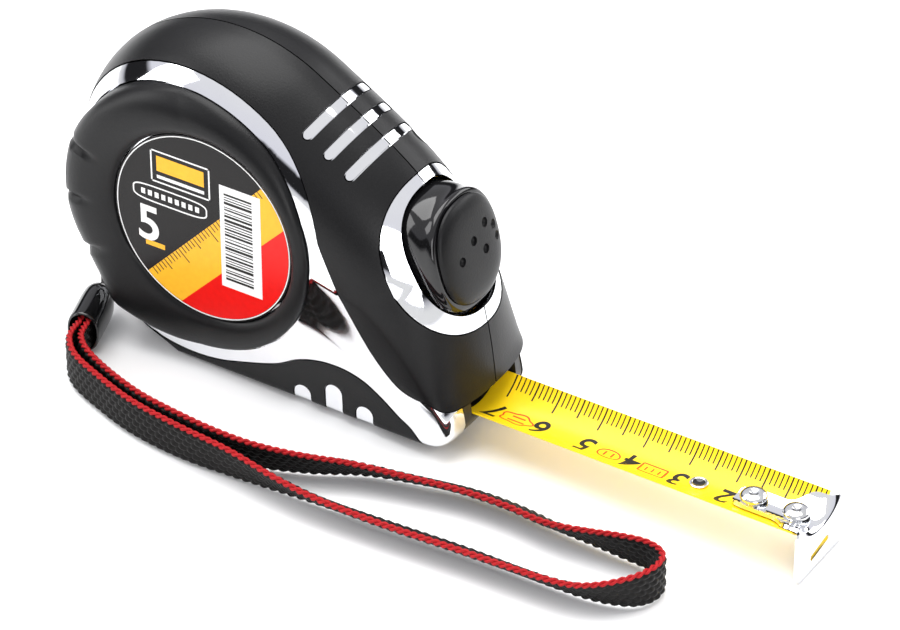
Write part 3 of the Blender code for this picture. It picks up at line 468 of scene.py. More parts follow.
REFS = {}


def reference(inset, side):
    """Points and smooth normals of the surface at an inset, found through a tree."""
    if (inset, side) not in REFS:
        rings = half_surface(inset, side, 0.0)
        points, faces = loft(rings)
        mesh = bpy.data.meshes.new("reference")
        mesh.from_pydata([tuple(np.array(p) * MM) for p in points], [], faces[:-2])
        mesh.update()
        normals = [v.normal.copy() for v in mesh.vertices]
        tree = kdtree.KDTree(len(normals))
        for k, v in enumerate(mesh.vertices):
            tree.insert(v.co, k)
        tree.balance()
        mid = Vector((BODY_X, 0, BODY_Z)) * MM
        spot = mesh.vertices[len(OUTLINE) * 10 + len(OUTLINE) // 2]
        sign = -1.0 if spot.normal.dot(spot.co - mid) < 0 else 1.0
        REFS[(inset, side)] = (tree, [n * sign for n in normals])
        bpy.data.meshes.remove(mesh)
    return REFS[(inset, side)]


def smooth_from(obj, refs, near=0.10):
    """Gives every corner that lies on one of the smooth surfaces that surface's normal."""
    mesh = obj.data
    for face in mesh.polygons:
        face.use_smooth = True
    out = [None] * len(mesh.loops)
    cache = {}
    for face in mesh.polygons:
        flat = face.normal
        for loop in face.loop_indices:
            index = mesh.loops[loop].vertex_index
            if index not in cache:
                found = []
                p = mesh.vertices[index].co
                for tree, normals in refs:
                    hits = tree.find_n(p, 4)
                    total = Vector()
                    for _, k, far in hits:
                        total += normals[k] * (1 / (far + 1e-7) ** 2)
                    gap = min(abs((p - co).dot(normals[k])) for co, k, _ in hits[:2])
                    if gap < near * MM:
                        found.append((gap, total.normalized()))
                cache[index] = [n for _, n in sorted(found, key=lambda row: row[0])]
            out[loop] = flat
            for n in cache[index]:
                if n.dot(flat) > 0.82:
                    out[loop] = n
                    break
    mesh.normals_split_custom_set(out)


SURFACE = []


def depth(x, z):
    """How far the case's smooth surface lies from its middle plane."""
    if not SURFACE:
        points, faces = loft(half_surface(0.0, 1))
        quads = [f for f in faces if len(f) == 4]
        SURFACE.append(BVHTree.FromPolygons([Vector(p) for p in points], quads + [faces[-1]]))
    hit = SURFACE[0].ray_cast(Vector((x, 60, z)), Vector((0, -1, 0)))[0]
    return hit.y if hit else 0.0


def band_outline(shrink=0.0):
    rows = [(NOSE_X + 6, 8.0), (33.1, 9.0), (29.3, 10.9), (25.6, 11.2), (22.2, 12.6)]
    rows += [(18.0, 17.2), (14.3, 23.0), (10.4, 30.4)]
    for k in range(67):
        a = math.radians(12 + 272 * k / 66)
        rows.append((RING_X + BAND_R * math.cos(a), RING_Z + BAND_R * math.sin(a)))
    rows += [(-6.0, 6.4), (-0.2, 9.8), (3.8, 11.3), (7.6, 11.9), (11.4, 11.7), (14.9, 10.6)]
    rows += [(17.6, 8.9), (20.1, 6.9), (22.6, 4.9), (25.2, 3.1), (28.9, -1.0), (NOSE_X + 6, -1.0)]
    table = np.array(rows)
    # A finer, rounder line through the same points
    out = []
    count = len(table)
    for j in range(count):
        a, b, c, d = table[j - 1], table[j], table[(j + 1) % count], table[(j + 2) % count]
        steps = 5 if np.linalg.norm(c - b) > 2.6 and 0 < j < count - 3 else 1
        for k in range(steps):
            out.append(spline(a, b, c, d, k / steps))
    out = np.array(out)
    return [tuple(p) for p in out + inward(out) * shrink]


LOCK_N = np.array([math.cos(math.radians(LOCK_LEAN)), 0, math.sin(math.radians(LOCK_LEAN))])
LOCK_T = np.array([LOCK_N[2], 0, -LOCK_N[0]])
LOCK_AT = np.array([25.5, 0, 36.9])
PIVOT = LOCK_AT - LOCK_N * 8.0


def lock_ring(height, long, wide, shift=0.0, tilt=0.0, steps=96, power=2.4):
    lean = math.radians(tilt)
    along = LOCK_T * math.cos(lean) + LOCK_N * math.sin(lean)
    middle = LOCK_AT + LOCK_N * height + LOCK_T * shift
    loop = []
    for k in range(steps):
        c, s = squared(k, steps, power)
        loop.append(tuple(middle + along * (c * long) + np.array([0, s * wide, 0])))
    return loop


def lock_plug(rows):
    return loft([lock_ring(*row) for row in rows])


def lock_hole(*size):
    return tool(lock_plug([(-14, *size), (9, *size)]))


def bar_shape(x, z, half_wide, half_long):
    slope = math.radians(-31)
    along = np.array([math.cos(slope), 0, math.sin(slope)])
    out = np.array([-along[2], 0, along[0]])
    loop = []
    for side in (1, -1):
        for k in range(13):
            a = math.radians(-90 + 15 * k)
            y = side * (half_long - half_wide + half_wide * math.cos(a))
            loop.append(along * (side * half_wide * math.sin(a)) + np.array([0, y, 0]))
    at = np.array([x, 0, z])
    return loft([[tuple(at + out * h + p) for p in loop] for h in (-9, 6)])


def window_shape(x, top, half=2.1):
    loop = [(x - half, -1.0), (x + half, -1.0)]
    for k in range(17):
        a = math.pi * k / 16
        loop.append((x + half * math.cos(a), top - half + half * math.sin(a)))
    return loop


def window_hole(side, from_y, *size):
    return tool(prism_y(window_shape(*size), *sorted((side * from_y, side * CUT_FAR))))


def mouth_hole():
    return tool(box((MOUTH_IN_X, -MOUTH_HALF, -1), (NOSE_X + 5, MOUTH_HALF, MOUTH_TOP)))


def band_hole(shrink=0.0):
    return tool(prism_y(band_outline(shrink), -CUT_FAR, CUT_FAR))


def screw_hole(x, z, from_y=SCREW_HOLE_Y):
    profile = [(SCREW_HOLE_R, from_y), (SCREW_HOLE_R, CUT_FAR)]
    return tool(lathe(profile, (x, 0, z), steps=40))


LUG_ANGLE = math.radians(208)
LUG_DIR = np.array([math.cos(LUG_ANGLE), 0, math.sin(LUG_ANGLE)])
LUG_AT = np.array([BODY_X, 0, BODY_Z]) + LUG_DIR * (BODY_R + 2.6)


def lug_block(reach, half, low, high):
    across = np.array([-LUG_DIR[2], 0, LUG_DIR[0]])
    foot = np.array([BODY_X, 0, BODY_Z]) + LUG_DIR * (BODY_R - 1.6)
    tip = np.array([BODY_X, 0, BODY_Z]) + LUG_DIR * (BODY_R + reach)
    loop = [foot - across * half, tip - across * half, tip + across * half, foot + across * half]
    return prism_y([(p[0], p[2]) for p in loop], low, high)


def make_case():
    around = [(RING_R + GAP, -CUT_FAR), (RING_R + GAP, CUT_FAR)]
    ring_hole = lathe(around, (RING_X, 0, RING_Z), steps=128)
    for side, word in SIDES:
        shell = build("plated_shell_" + word, *half_solid(SHELL_OUT, SHELL_IN, side), CHROME)
        if side < 0:
            cut(shell, [tool(lug_block(4.6, 2.3, -2.1, -0.4))], "UNION")
            cut(shell, [tool(lathe([(1.1, -6), (1.1, 6)], tuple(LUG_AT), steps=32))])
        cut(shell, [mouth_hole(), lock_hole(LOCK_LONG, LOCK_WIDE)])
        if side > 0:
            for at in SCREW_AT:
                cut(shell, [screw_hole(*at)])
        smooth_from(shell, [reference(SHELL_OUT, side)])
        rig.ride(shell, "case")
        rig.replaces(shell, "shell_" + word)
        # Plated trim that stands up to the face of the skin: band, surround, bars and windows
        size = (SURROUND[0] - TRIM_GAP, SURROUND[1] - TRIM_GAP, SURROUND[2])
        trims = [("plated_band_" + word, band_hole(TRIM_GAP), [tool(ring_hole), mouth_hole()])]
        trims.append(("plated_surround_" + word, lock_hole(*size), [lock_hole(LOCK_LONG, LOCK_WIDE)]))
        for k, at in enumerate(BARS):
            trims.append(("plated_bar_%d_%s" % (k, word), tool(bar_shape(*at, 0.9, 10.6)), []))
        for k, (x, top) in enumerate(WINDOWS):
            hole = window_hole(side, 12.4, x, top - 0.25, 1.85)
            trims.append(("plated_window_%d_%s" % (k, word), hole, []))
        for name, inside, holes in trims:
            trim = build(name, *half_solid(TRIM_OUT, TRIM_IN, side), CHROME)
            cut(trim, [inside], "INTERSECT")
            cut(trim, holes)
            smooth_from(trim, [reference(TRIM_OUT, side)])
            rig.ride(trim, "case")
            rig.slot(trim, "plated_case")
        grip = build("skin_" + word, *half_solid(0.0, SKIN_T, side), RUBBER)
        cuts = [band_hole(), lock_hole(*SURROUND), mouth_hole()]
        cuts += [tool(bar_shape(*at, 1.15, 10.9)) for at in BARS]
        cuts += [window_hole(side, 12.2, *at) for at in WINDOWS]
        if side > 0:
            cuts += [screw_hole(*at) for at in SCREW_AT[:2]]
        else:
            cuts.append(tool(lug_block(3, 2.7, -2.4, 0)))
        cut(grip, cuts)
        smooth_from(grip, [reference(0.0, side)])
        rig.ride(grip, "case")
        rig.replaces(grip, "grip_" + word)


# The ring's rise over the case, by the share of the way in to the label, and its bumper's
RING_PROFILE = [
    (0.0, 0.0), (0.012, 0.3), (0.03, 0.55), (0.07, 0.8), (0.14, 1.05), (0.24, 1.26), (0.35, 1.4),
    (0.48, 1.43), (0.6, 1.4), (0.72, 1.25), (0.82, 1.05), (0.9, 0.78), (0.95, 0.55), (0.985, 0.3),
    (1.0, 0.1),
]
RING_UNDER = (1.0, 0.75, 0.5, 0.25, 0.12, 0.0)
BUMPER_ANGLE, GROOVE_ANGLES = 184, (158, 184, 210)
BUMPER_SHARE = (0.0, 0.03, 0.14, 0.35, 0.6, 0.82, 1.0)
BUMPER_RISE = (0.0, 4.7, 4.7, 3.2, 1.4, 0.45, 0.0)


def ring_rows(side, count=240):
    loops = []
    for share, high in RING_PROFILE + [(s, None) for s in RING_UNDER]:
        loop = []
        for k in range(count):
            a = 2 * math.pi * k / count
            c, s = math.cos(a), math.sin(a)
            x = (RING_X + RING_R * c) * (1 - share) + (LABEL_X + (LABEL_R + GAP) * c) * share
            z = (RING_Z + RING_R * s) * (1 - share) + (LABEL_Z + (LABEL_R + GAP) * s) * share
            if high is None:
                loop.append((x, side * (depth(x, z) - SKIN_T + 0.05), z))
                continue
            swell = float(np.interp(share, BUMPER_SHARE, BUMPER_RISE))
            rise = high + swell * max(0.0, math.cos(a - math.radians(BUMPER_ANGLE)))
            for at in GROOVE_ANGLES:
                off = (math.degrees(a) - at) / 1.7
                dip = 0.95 * math.exp(-off**4) * (1 - smooth((share - 0.42) / 0.12))
                rise -= dip * min(share / 0.02, 1)
            loop.append((x, side * (depth(x, z) + max(rise, 0.0)), z))
        loops.append(loop)
    return loops


def make_guide():
    """Black liner of the mouth: a hollow floor under the blade, with the case's own front."""
    half, inside = MOUTH_HALF - GAP, BLADE_CHORD / 2 + 0.5
    loops = []
    for x in (MOUTH_IN_X + GAP, NOSE_X + 2):
        top = MOUTH_TOP - GAP
        loop = [(x, -half, -1.0), (x, half, -1.0), (x, half, top), (x, inside, top)]
        for y in np.linspace(inside, -inside, 33):
            a = math.asin(max(min(y, 7.35), -7.35) / BLADE_R)
            z = BLADE_AXIS_Z - (BLADE_R + BLADE_T + 0.45) * math.cos(a)
            loop.append((x, float(y), z - 0.75 * max(0.0, 1 - (y / 4.0) ** 2)))
        loops.append(loop + [(x, -inside, top), (x, -half, top)])
    guide = build("mouth_liner", *loft(loops), PLASTIC, 30)
    cut(guide, [tool(loft(half_surface(GAP, -1)[::-1] + half_surface(GAP, 1)))], "INTERSECT")
    shade(guide, 30)
    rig.ride(guide, "case")
    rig.replaces(guide, "mouth_guide")


def make_sides():
    for side, word in SIDES:
        ring = build("soft_ring_" + word, *loft(ring_rows(side), capped=False), RUBBER, 40)
        if side > 0:
            cut(ring, [screw_hole(*SCREW_AT[2], 5)])
            shade(ring, 40)
        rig.ride(ring, "case")
        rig.replaces(ring, "side_ring_" + word)


# Printed labels


def stroke(points, wide, closed=False):
    """A flat band of the given width along a line in a plane, as quads."""
    line = np.array(points, float)
    if closed:
        ahead = np.roll(line, -1, 0) - np.roll(line, 1, 0)
    else:
        ahead = np.gradient(line, axis=0)
    ahead /= np.linalg.norm(ahead, axis=1)[:, None]
    side = np.stack([-ahead[:, 1], ahead[:, 0]], 1) * wide / 2
    spots = list(line - side) + list(line + side)
    n = len(line)
    last = n if closed else n - 1
    return spots, [(k, (k + 1) % n, n + (k + 1) % n, n + k) for k in range(last)]


def rect(x0, z0, x1, z1):
    return [(x0, z0), (x1, z0), (x1, z1), (x0, z1)], [(0, 1, 2, 3)]


def oval_line(x, z, a, b, steps=40, power=2.0):
    out = []
    for k in range(steps):
        c, s = squared(k, steps, power)
        out.append((x + c * a, z + s * b))
    return out


def numeral(text, size):
    """A built-in glyph as flat points and faces, centred."""
    curve = bpy.data.curves.new("glyph", "FONT")
    curve.body = text
    curve.size = size
    curve.offset = size * 0.016
    curve.align_x, curve.align_y = "CENTER", "CENTER"
    obj = bpy.data.objects.new("glyph", curve)
    bpy.context.scene.collection.objects.link(obj)
    bpy.context.view_layer.update()
    mesh = baked(obj)
    work = bmesh.new()
    work.from_mesh(mesh)
    bmesh.ops.triangulate(work, faces=work.faces)
    for _ in range(3):
        long = [e for e in work.edges if e.calc_length() > 0.6]
        bmesh.ops.subdivide_edges(work, edges=long, cuts=1)
        bmesh.ops.triangulate(work, faces=work.faces)
    work.verts.index_update()
    points = [(v.co.x, v.co.y) for v in work.verts]
    faces = [tuple(v.index for v in f.verts) for f in work.faces]
    work.free()
    bpy.data.objects.remove(obj)
    xs, ys = [p[0] for p in points], [p[1] for p in points]
    mx, my = (min(xs) + max(xs)) / 2, (min(ys) + max(ys)) / 2
    return [(x - mx, y - my) for x, y in points], faces


def merge(shapes):
    points, faces = [], []
    for p, f in shapes:
        faces += [tuple(k + len(points) for k in face) for face in f]
        points += list(p)
    return points, faces


def clip_to_disc(shape, radius=PRINT_R):
    """Keeps what lies within the label's printed circle."""
    points, faces = shape
    work = bmesh.new()
    verts = [work.verts.new((p[0] - LABEL_X, p[1] - LABEL_Z, 0)) for p in points]
    for face in faces:
        work.faces.new([verts[k] for k in face])
    for k in range(72):
        a = 2 * math.pi * k / 72
        n = Vector((math.cos(a), math.sin(a), 0))
        geom = work.verts[:] + work.edges[:] + work.faces[:]
        bmesh.ops.bisect_plane(work, geom=geom, plane_co=n * radius, plane_no=n, clear_outer=True)
    work.verts.index_update()
    out = [(v.co.x + LABEL_X, v.co.y + LABEL_Z) for v in work.verts]
    rows = [tuple(v.index for v in f.verts) for f in work.faces]
    work.free()
    return out, rows


def decal(name, shape, mat, side, lift):
    """Ink on a label, standing a little proud of its face, with a thin edge."""
    points, faces = shape
    face_y = side * (HALF_T - SHELL_OUT + GAP + LABEL_T)
    low = [(x, face_y - side * 0.05, z) for x, z in points]
    high = [(x, face_y + side * lift, z) for x, z in points]
    count = len(points)
    top = [tuple(k + count for k in (f if side < 0 else tuple(reversed(f)))) for f in faces]
    edges = {}
    for f in faces:
        for a, b in zip(f, f[1:] + f[:1]):
            edges[(a, b)] = edges.get((a, b), 0) + 1
    walls = [(a, b, b + count, a + count) for (a, b) in edges if (b, a) not in edges]
    obj = build(name, low + high, top + walls, mat, 30, flip=False)
    work = bmesh.new()
    work.from_mesh(obj.data)
    bmesh.ops.recalc_face_normals(work, faces=work.faces)
    total = sum((f.normal.y * f.calc_area() for f in work.faces), 0.0)
    if total * side < 0:
        bmesh.ops.reverse_faces(work, faces=work.faces)
    work.to_mesh(obj.data)
    work.free()
    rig.ride(obj, "case")
    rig.slot(obj, "label_print")


STICKER_BARS = (
    0.5, 0.2, 0.35, 0.2, 0.6, 0.25, 0.2, 0.45, 0.3, 0.2,
    0.55, 0.2, 0.35, 0.2, 0.5, 0.25, 0.4, 0.2, 0.3, 0.6,
)


def make_label(side, word):
    def place(shape):
        points, faces = shape
        if side < 0:
            return points, faces
        return [(2 * LABEL_X - x, z) for x, z in points], [tuple(reversed(f)) for f in faces]

    band = ([(-45.7, 6.0), (-38.6, 1.4), (10.3, 52.2), (3.8, 58.3)], [(0, 1, 2, 3)])
    red = ([(-38.6, 1.4), (10, 1.4), (10.3, 52.2)], [(0, 1, 2)])
    decal("label_band_" + word, clip_to_disc(place(band)), LABEL_YELLOW, side, 0.03)
    decal("label_red_" + word, clip_to_disc(place(red)), LABEL_RED, side, 0.03)
    turns = np.linspace(0, 2 * math.pi, 129)[:-1]
    around = [(LABEL_X + RIM_R * math.cos(t), LABEL_Z + RIM_R * math.sin(t)) for t in turns]
    ring = stroke(around, 0.22, True)
    decal("label_outline_" + word, ring, LABEL_WHITE, side, 0.05)
    # Ruler marks along the upper edge of the band
    a, b = np.array([-32.7, 19.7]), np.array([-7.0, 46.9])
    way = (b - a) / np.linalg.norm(b - a)
    over = np.array([way[1], -way[0]])
    marks = []
    for k in range(-3, 38):
        foot = a + way * k
        if np.hypot(*(foot - np.array([LABEL_X, LABEL_Z]))) > 18.8:
            continue
        long = 3.4 if k % 10 == 0 else 2.5 if k % 5 == 0 else 1.6
        marks.append(stroke([foot, foot + over * long], 0.22))
    decal("label_ruler_" + word, place(merge(marks)), INK, side, 0.05)
    # White sticker with plain bars
    sticker = ([(-15.9, 22.3), (-6.7, 22.3), (-6.7, 45.2), (-15.9, 45.2)], [(0, 1, 2, 3)])
    decal("label_sticker_" + word, clip_to_disc(place(sticker), 19.3), LABEL_WHITE, side, 0.07)
    bars, z, k = [], 24.0, 0
    while z < 43.4:
        wide = STICKER_BARS[k % len(STICKER_BARS)]
        bars.append(rect(-14.9, z, -8.6, z + wide))
        z += wide + STICKER_BARS[(k * 7 + 3) % len(STICKER_BARS)] * 0.75 + 0.12
        k += 1
    decal("label_bars_" + word, clip_to_disc(place(merge(bars)), 19.1), INK, side, 0.09)
    # Outlined panel with plain bars, a pill with dashes and the length figure
    frame_line = [(-31.4, 40.7), (-18.2, 40.7), (-18.2, 47.6), (-31.4, 47.6)]
    lines = []
    for j in range(4):
        p, q = np.array(frame_line[j]), np.array(frame_line[(j + 1) % 4])
        d = (q - p) / np.linalg.norm(q - p) * 0.16
        lines.append(stroke([p - d, q + d], 0.32))
    pill = oval_line(-27.4, 37.5, 8.4, 1.75, 64, 4.0)
    lines.append(stroke(pill, 0.3, True))
    for j in range(9):
        lines.append(rect(-34.0 + 1.55 * j, 36.9, -33.1 + 1.55 * j, 38.1))
    lines.append(rect(-30.2, 41.6, -19.4, 42.3))
    decal("label_lines_" + word, place(merge(lines)), LABEL_WHITE, side, 0.05)
    decal("label_panel_" + word, place(rect(-30.2, 43.2, -19.4, 46.6)), LABEL_YELLOW, side, 0.05)
    points, faces = numeral("5", 11.0)
    shape = ([(x - 32.6, y + 30.4) for x, y in points], faces)
    decal("label_figure_" + word, place(shape), LABEL_WHITE, side, 0.05)
    decal("label_dash_" + word, place(rect(-33.4, 25.4, -29.0, 26.5)), LABEL_YELLOW, side, 0.05)


# Blade

BLADE_R = ((BLADE_CHORD / 2) ** 2 + BLADE_SAG**2) / (2 * BLADE_SAG)
BLADE_AXIS_Z = BLADE_EDGE_Z + BLADE_R - BLADE_SAG


def on_blade(x, across, lift=0.0):
    """A point of the hollow face; across is measured along the arc."""
    return blade_point(x, across / BLADE_R, BLADE_R - lift)


def strip(lows, highs):
    return loft([low + high[::-1] for low, high in zip(lows, highs)])


def printed(name, shape, mat, lift=0.02):
    points, faces = shape
    obj = build(name, [on_blade(x, y, lift) for x, y in points], faces, mat, 60, flip=False)
    up = sum(f.normal.z * f.area for f in obj.data.polygons)
    if up < 0:
        obj.data.flip_normals()
    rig.ride(obj, "blade")
    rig.slot(obj, "blade_paint")


def make_blade():
    reach = math.asin(BLADE_CHORD / 2 / BLADE_R)
    half = reach * BLADE_R
    lows, highs = [], []
    for x in np.linspace(BLADE_IN_X, BLADE_OUT_X, 40):
        ys = np.linspace(-half, half, 49)
        lows.append([on_blade(x, y, -BLADE_T) for y in ys])
        highs.append([on_blade(x, y) for y in ys])
    blade = build("printed_blade", *strip(lows, highs), YELLOW, 50)
    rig.ride(blade, "blade")
    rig.replaces(blade, "blade")
    ticks = []
    for k in range(3, 71):
        x = FIGURE_ZERO_X - k
        if x < BLADE_IN_X + 0.4 or x > BLADE_OUT_X - 0.3:
            continue
        long = 4.9 if k % 10 == 0 else 4.0 if k % 5 == 0 else 3.0
        ys = np.linspace(half - 0.05, half - long, 7)
        ticks.append(stroke([(x, y) for y in ys], 0.26 if k % 5 else 0.32))
    printed("blade_ticks", merge(ticks), INK)
    figures = []
    for n in range(2, 8):
        points, faces = numeral(str(n), 6.6)
        x = FIGURE_ZERO_X - 10 * n
        figures.append(([(x - p - 0.18 * q, -1.2 - q) for p, q in points], faces))
    printed("blade_numbers", merge(figures), INK)
    marks = [stroke(oval_line(60.3, -1.3, 2.3, 1.45, 48, 2.2), 0.34, True)]
    marks += [stroke([(59.5, -2.1), (59.5, -0.5)], 0.4), stroke([(61.1, -2.1), (61.1, -0.5)], 0.4)]
    corner = [(67.2, -2.7), (72.4, -2.7), (72.4, 0.2), (67.2, 0.2)]
    for j in range(4):
        marks.append(stroke([corner[j], corner[(j + 1) % 4]], 0.34))
    for j in range(3):
        marks.append(stroke([(68.4 + 1.4 * j, -2.0), (68.4 + 1.4 * j, -0.6)], 0.34))
    lobes = []
    for k in range(72):
        t = 2 * math.pi * k / 72
        r = 1 + 0.10 * math.cos(5 * t)
        lobes.append((40.0 + 3.3 * r * math.cos(t), -1.2 + 1.8 * r * math.sin(t)))
    marks.append(stroke(lobes, 0.34, True))
    marks += [stroke([(38.4, -1.9), (42.0, -1.9)], 0.4), stroke([(38.8, -0.5), (41.6, -0.5)], 0.4)]
    printed("blade_marks", merge(marks), RED_INK)
    make_rivets()


def make_rivets():
    floor = BLADE_EDGE_Z - BLADE_SAG
    under = -BLADE_T - 0.12
    seat = GAP + HOOK_T + 0.75
    domed = [(1.9, under - 0.5), (2.1, under - 0.2), (2.1, under), (RIVET_R, under)]
    domed += [(RIVET_R, seat), (2.55, seat), (2.65, seat + 0.1), (2.62, seat + 0.45)]
    domed += [(2.4, seat + 0.8), (1.9, seat + 1.06), (1.2, seat + 1.2)]
    domed += [(0.9, seat + 1.16), (0.55, seat + 0.95), (0.3, seat + 0.9)]
    low = [(1.7, under - 0.4), (1.8, under), (RIVET_R, under), (RIVET_R, 0.3), (1.8, 0.3)]
    low += [(1.78, 0.42), (1.6, 0.52), (1.3, 0.5), (1.05, 0.3), (0.95, 0.0), (0.9, under)]
    # cup is the profile of a black dish that fills the blade rivet's open middle: painted shade standing in for the
    # dark hole of the eyelet
    cup = [(0.3, 0.16), (0.9, 0.18), (1.5, 0.44), (1.46, 0.54), (0.9, 0.3), (0.3, 0.24)]
    inner, outer = RIVET_X
    for name, x, rows in (
        ("hook_rivet_inner", inner, domed), ("hook_rivet_outer", outer, domed),
        ("blade_rivet", BLADE_RIVET_X, low),
    ):
        # The blade rivet gets a gloss black dish in its middle, painted shade of its open hole rather than a part of
        # the tape
        if rows is low:
            dark = build("rivet_hollow", *lathe(cup, (x, 0, floor), (0, 0, 1), 40), GLOSS, 40)
            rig.ride(dark, "blade")
            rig.slot(dark, "black_gloss")
        rivet = build("bright_" + name, *lathe(rows, (x, 0, floor), (0, 0, 1), 48), STEEL, 38)
        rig.ride(rivet, "blade")
        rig.replaces(rivet, name)


def make_hook():
    lows, highs = [], []
    flare = [(TAB_IN_X, 1.9), (TAB_IN_X + 0.4, 2.5), (TAB_IN_X + 1.0, 2.9)]
    flare += [(TAB_IN_X + 3, TAB_HALF), (93.0, TAB_HALF), (96.0, TAB_HALF), (96.8, 3.5)]
    flare += [(97.4, 3.9), (98.0, 4.4), (98.8, 5.5), (99.6, 6.6), (100.4, 7.1), (101.2, 7.3)]
    flare.append((BEND_X, 7.4))
    steps = 32
    for x, wide in flare:
        low, high = [], []
        for k in range(steps + 1):
            a = (-1 + 2 * k / steps) * wide / BLADE_R
            low.append(blade_point(x, a, BLADE_R - GAP))
            high.append(blade_point(x, a, BLADE_R - GAP - HOOK_T))
        lows.append(low)
        highs.append(high)
    top, under = highs[-1], lows[-1]
    face = HOOK_X + HOOK_T
    across = [-HOOK_HALF + 2 * HOOK_HALF * k / steps for k in range(steps + 1)]
    for t in (0.2, 0.4, 0.6, 0.8, 1.0):
        a, share = math.radians(90 * t), smooth(t)
        for rows, start, end, fall in ((lows, under, HOOK_X, 0.4), (highs, top, face, 1.1)):
            x = BEND_X + (end - BEND_X) * math.sin(a)
            row = []
            for y, (_, old_y, old_z) in zip(across, start):
                row.append((x, old_y * (1 - share) + y * share, old_z - fall * (1 - math.cos(a))))
            rows.append(row)
    edge = highs[-1]
    for drop in (0.25, 0.5, 0.75, 1.0):
        for rows, x in ((lows, HOOK_X), (highs, face)):
            foot = (HOOK_LOW + 1.4) * drop
            rows.append([(x, y, p[2] * (1 - drop) + foot) for y, p in zip(across, edge)])
    low, high = [], []
    for k in range(steps + 1):
        y = (HOOK_HALF - 1.3) * (2 * k / steps - 1)
        z = HOOK_LOW + 0.55 * (k % 2)
        low.append((HOOK_X, y, z))
        high.append((face, y, z))
    lows.append(low)
    highs.append(high)
    hook = build("plated_hook", *strip(lows, highs), CHROME, 38)
    holes = []
    for x in RIVET_X:
        slot = []
        for side in (1, -1):
            for j in range(13):
                a = math.radians(-90 + 15 * j)
                along = x - 0.5 + side * 0.5 + side * SLOT_R * math.cos(a)
                slot.append((along, side * SLOT_R * math.sin(a)))
        holes.append(tool(loft([[(p, q, z) for p, q in slot] for z in (2.2, 5.6)])))
    nail = [(-3.9, -1.6), (-3.4, -2.2), (3.6, -1.0), (3.9, 0.0), (3.4, 0.5), (-3.6, -0.9)]
    holes.append(tool(loft([[(x, y, z) for y, z in nail] for x in (HOOK_X - 1, face + 1)])))
    cut(hook, holes)
    shade(hook, 38)
    soften(hook, 0.09)
    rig.ride(hook, "hook")
    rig.replaces(hook, "end_hook")


def soften(obj, wide):
    """Rounds the sharp edges a little."""
    step = obj.modifiers.new("round", "BEVEL")
    step.width, step.segments = wide * MM, 2
    step.limit_method, step.angle_limit = "ANGLE", math.radians(35)
    step.harden_normals = True
    step.use_clamp_overlap = True


# The thumb pad's height over its base, and how far in from the button's face
PAD_PROFILE = (
    (0.0, 1.3), (0.25, 1.32), (0.6, 1.6), (0.9, 2.2), (1.2, 3.1), (1.42, 4.3), (1.6, 6.2), (1.66, 9.0),
)
DIMPLE_PROFILE = [(0.4, -1.0), (0.75, -0.85), (0.95, -0.5), (1.0, 2.0)]


def make_lock():
    long, wide, neck = LOCK_LONG - 0.75, LOCK_WIDE - 0.75, LOCK_NECK - 0.55
    skirt = [(-9.5, long, neck), (0.25 - NECK_DEPTH, long, neck)]
    skirt += [(1.8 - NECK_DEPTH, long, wide), (-1.8, long, wide)]
    for k in range(1, 9):
        t = k / 9
        bow = math.sin(math.pi * t) * 0.25
        height = -1.8 + (FACE_HIGH - 0.8) * t + 0.8 * t
        half_long = long + (FACE_LONG - long) * t + bow
        half_wide = wide + (FACE_WIDE - wide) * t + bow * 0.6
        skirt.append((height, half_long, half_wide, FACE[0] * t, FACE[1] * t))
    high = skirt[-1][0]
    for up, in_by in ((0.3, 0.0), (0.55, 0.06), (0.75, 0.2), (0.9, 0.45), (0.98, 0.8), (1.0, 1.2)):
        height = high + (FACE_HIGH + 0.2 - high) * up
        skirt.append((height, FACE_LONG - in_by, FACE_WIDE - in_by, *FACE))
    button = build("gloss_button", *lock_plug(skirt), GLOSS, 45)
    inner = [(-11.5, long - 1.5, neck - 1.5), (-3.4, long - 1.9, neck - 1.8)]
    hole = lathe([(1.5, -20), (1.5, 20)], tuple(PIVOT), steps=32)
    cut(button, [tool(lock_plug(inner)), tool(hole)])
    shade(button, 45)
    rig.ride(button, "lock")
    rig.replaces(button, "lock_button")
    base = FACE_HIGH + 0.5
    cap = []
    for up, in_by in PAD_PROFILE:
        cap.append((base + up, FACE_LONG - in_by, FACE_WIDE - in_by, *FACE))
    pad = build("thumb_face", *lock_plug(cap), RUBBER, 45)
    lean = math.radians(FACE[1])
    along = LOCK_T * math.cos(lean) + LOCK_N * math.sin(lean)
    out = LOCK_N * math.cos(lean) - LOCK_T * math.sin(lean)
    middle = LOCK_AT + LOCK_N * (base + 1.6) + LOCK_T * FACE[0]
    dots = []
    for t, y in DIMPLES:
        at = middle + along * t + np.array([0, y, 0]) + out * 0.1
        dots.append(tool(lathe(DIMPLE_PROFILE, tuple(at), tuple(out), 32)))
    cut(pad, dots)
    shade(pad, 45)
    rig.ride(pad, "lock")
    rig.replaces(pad, "thumb_pad")


# Wrist strap

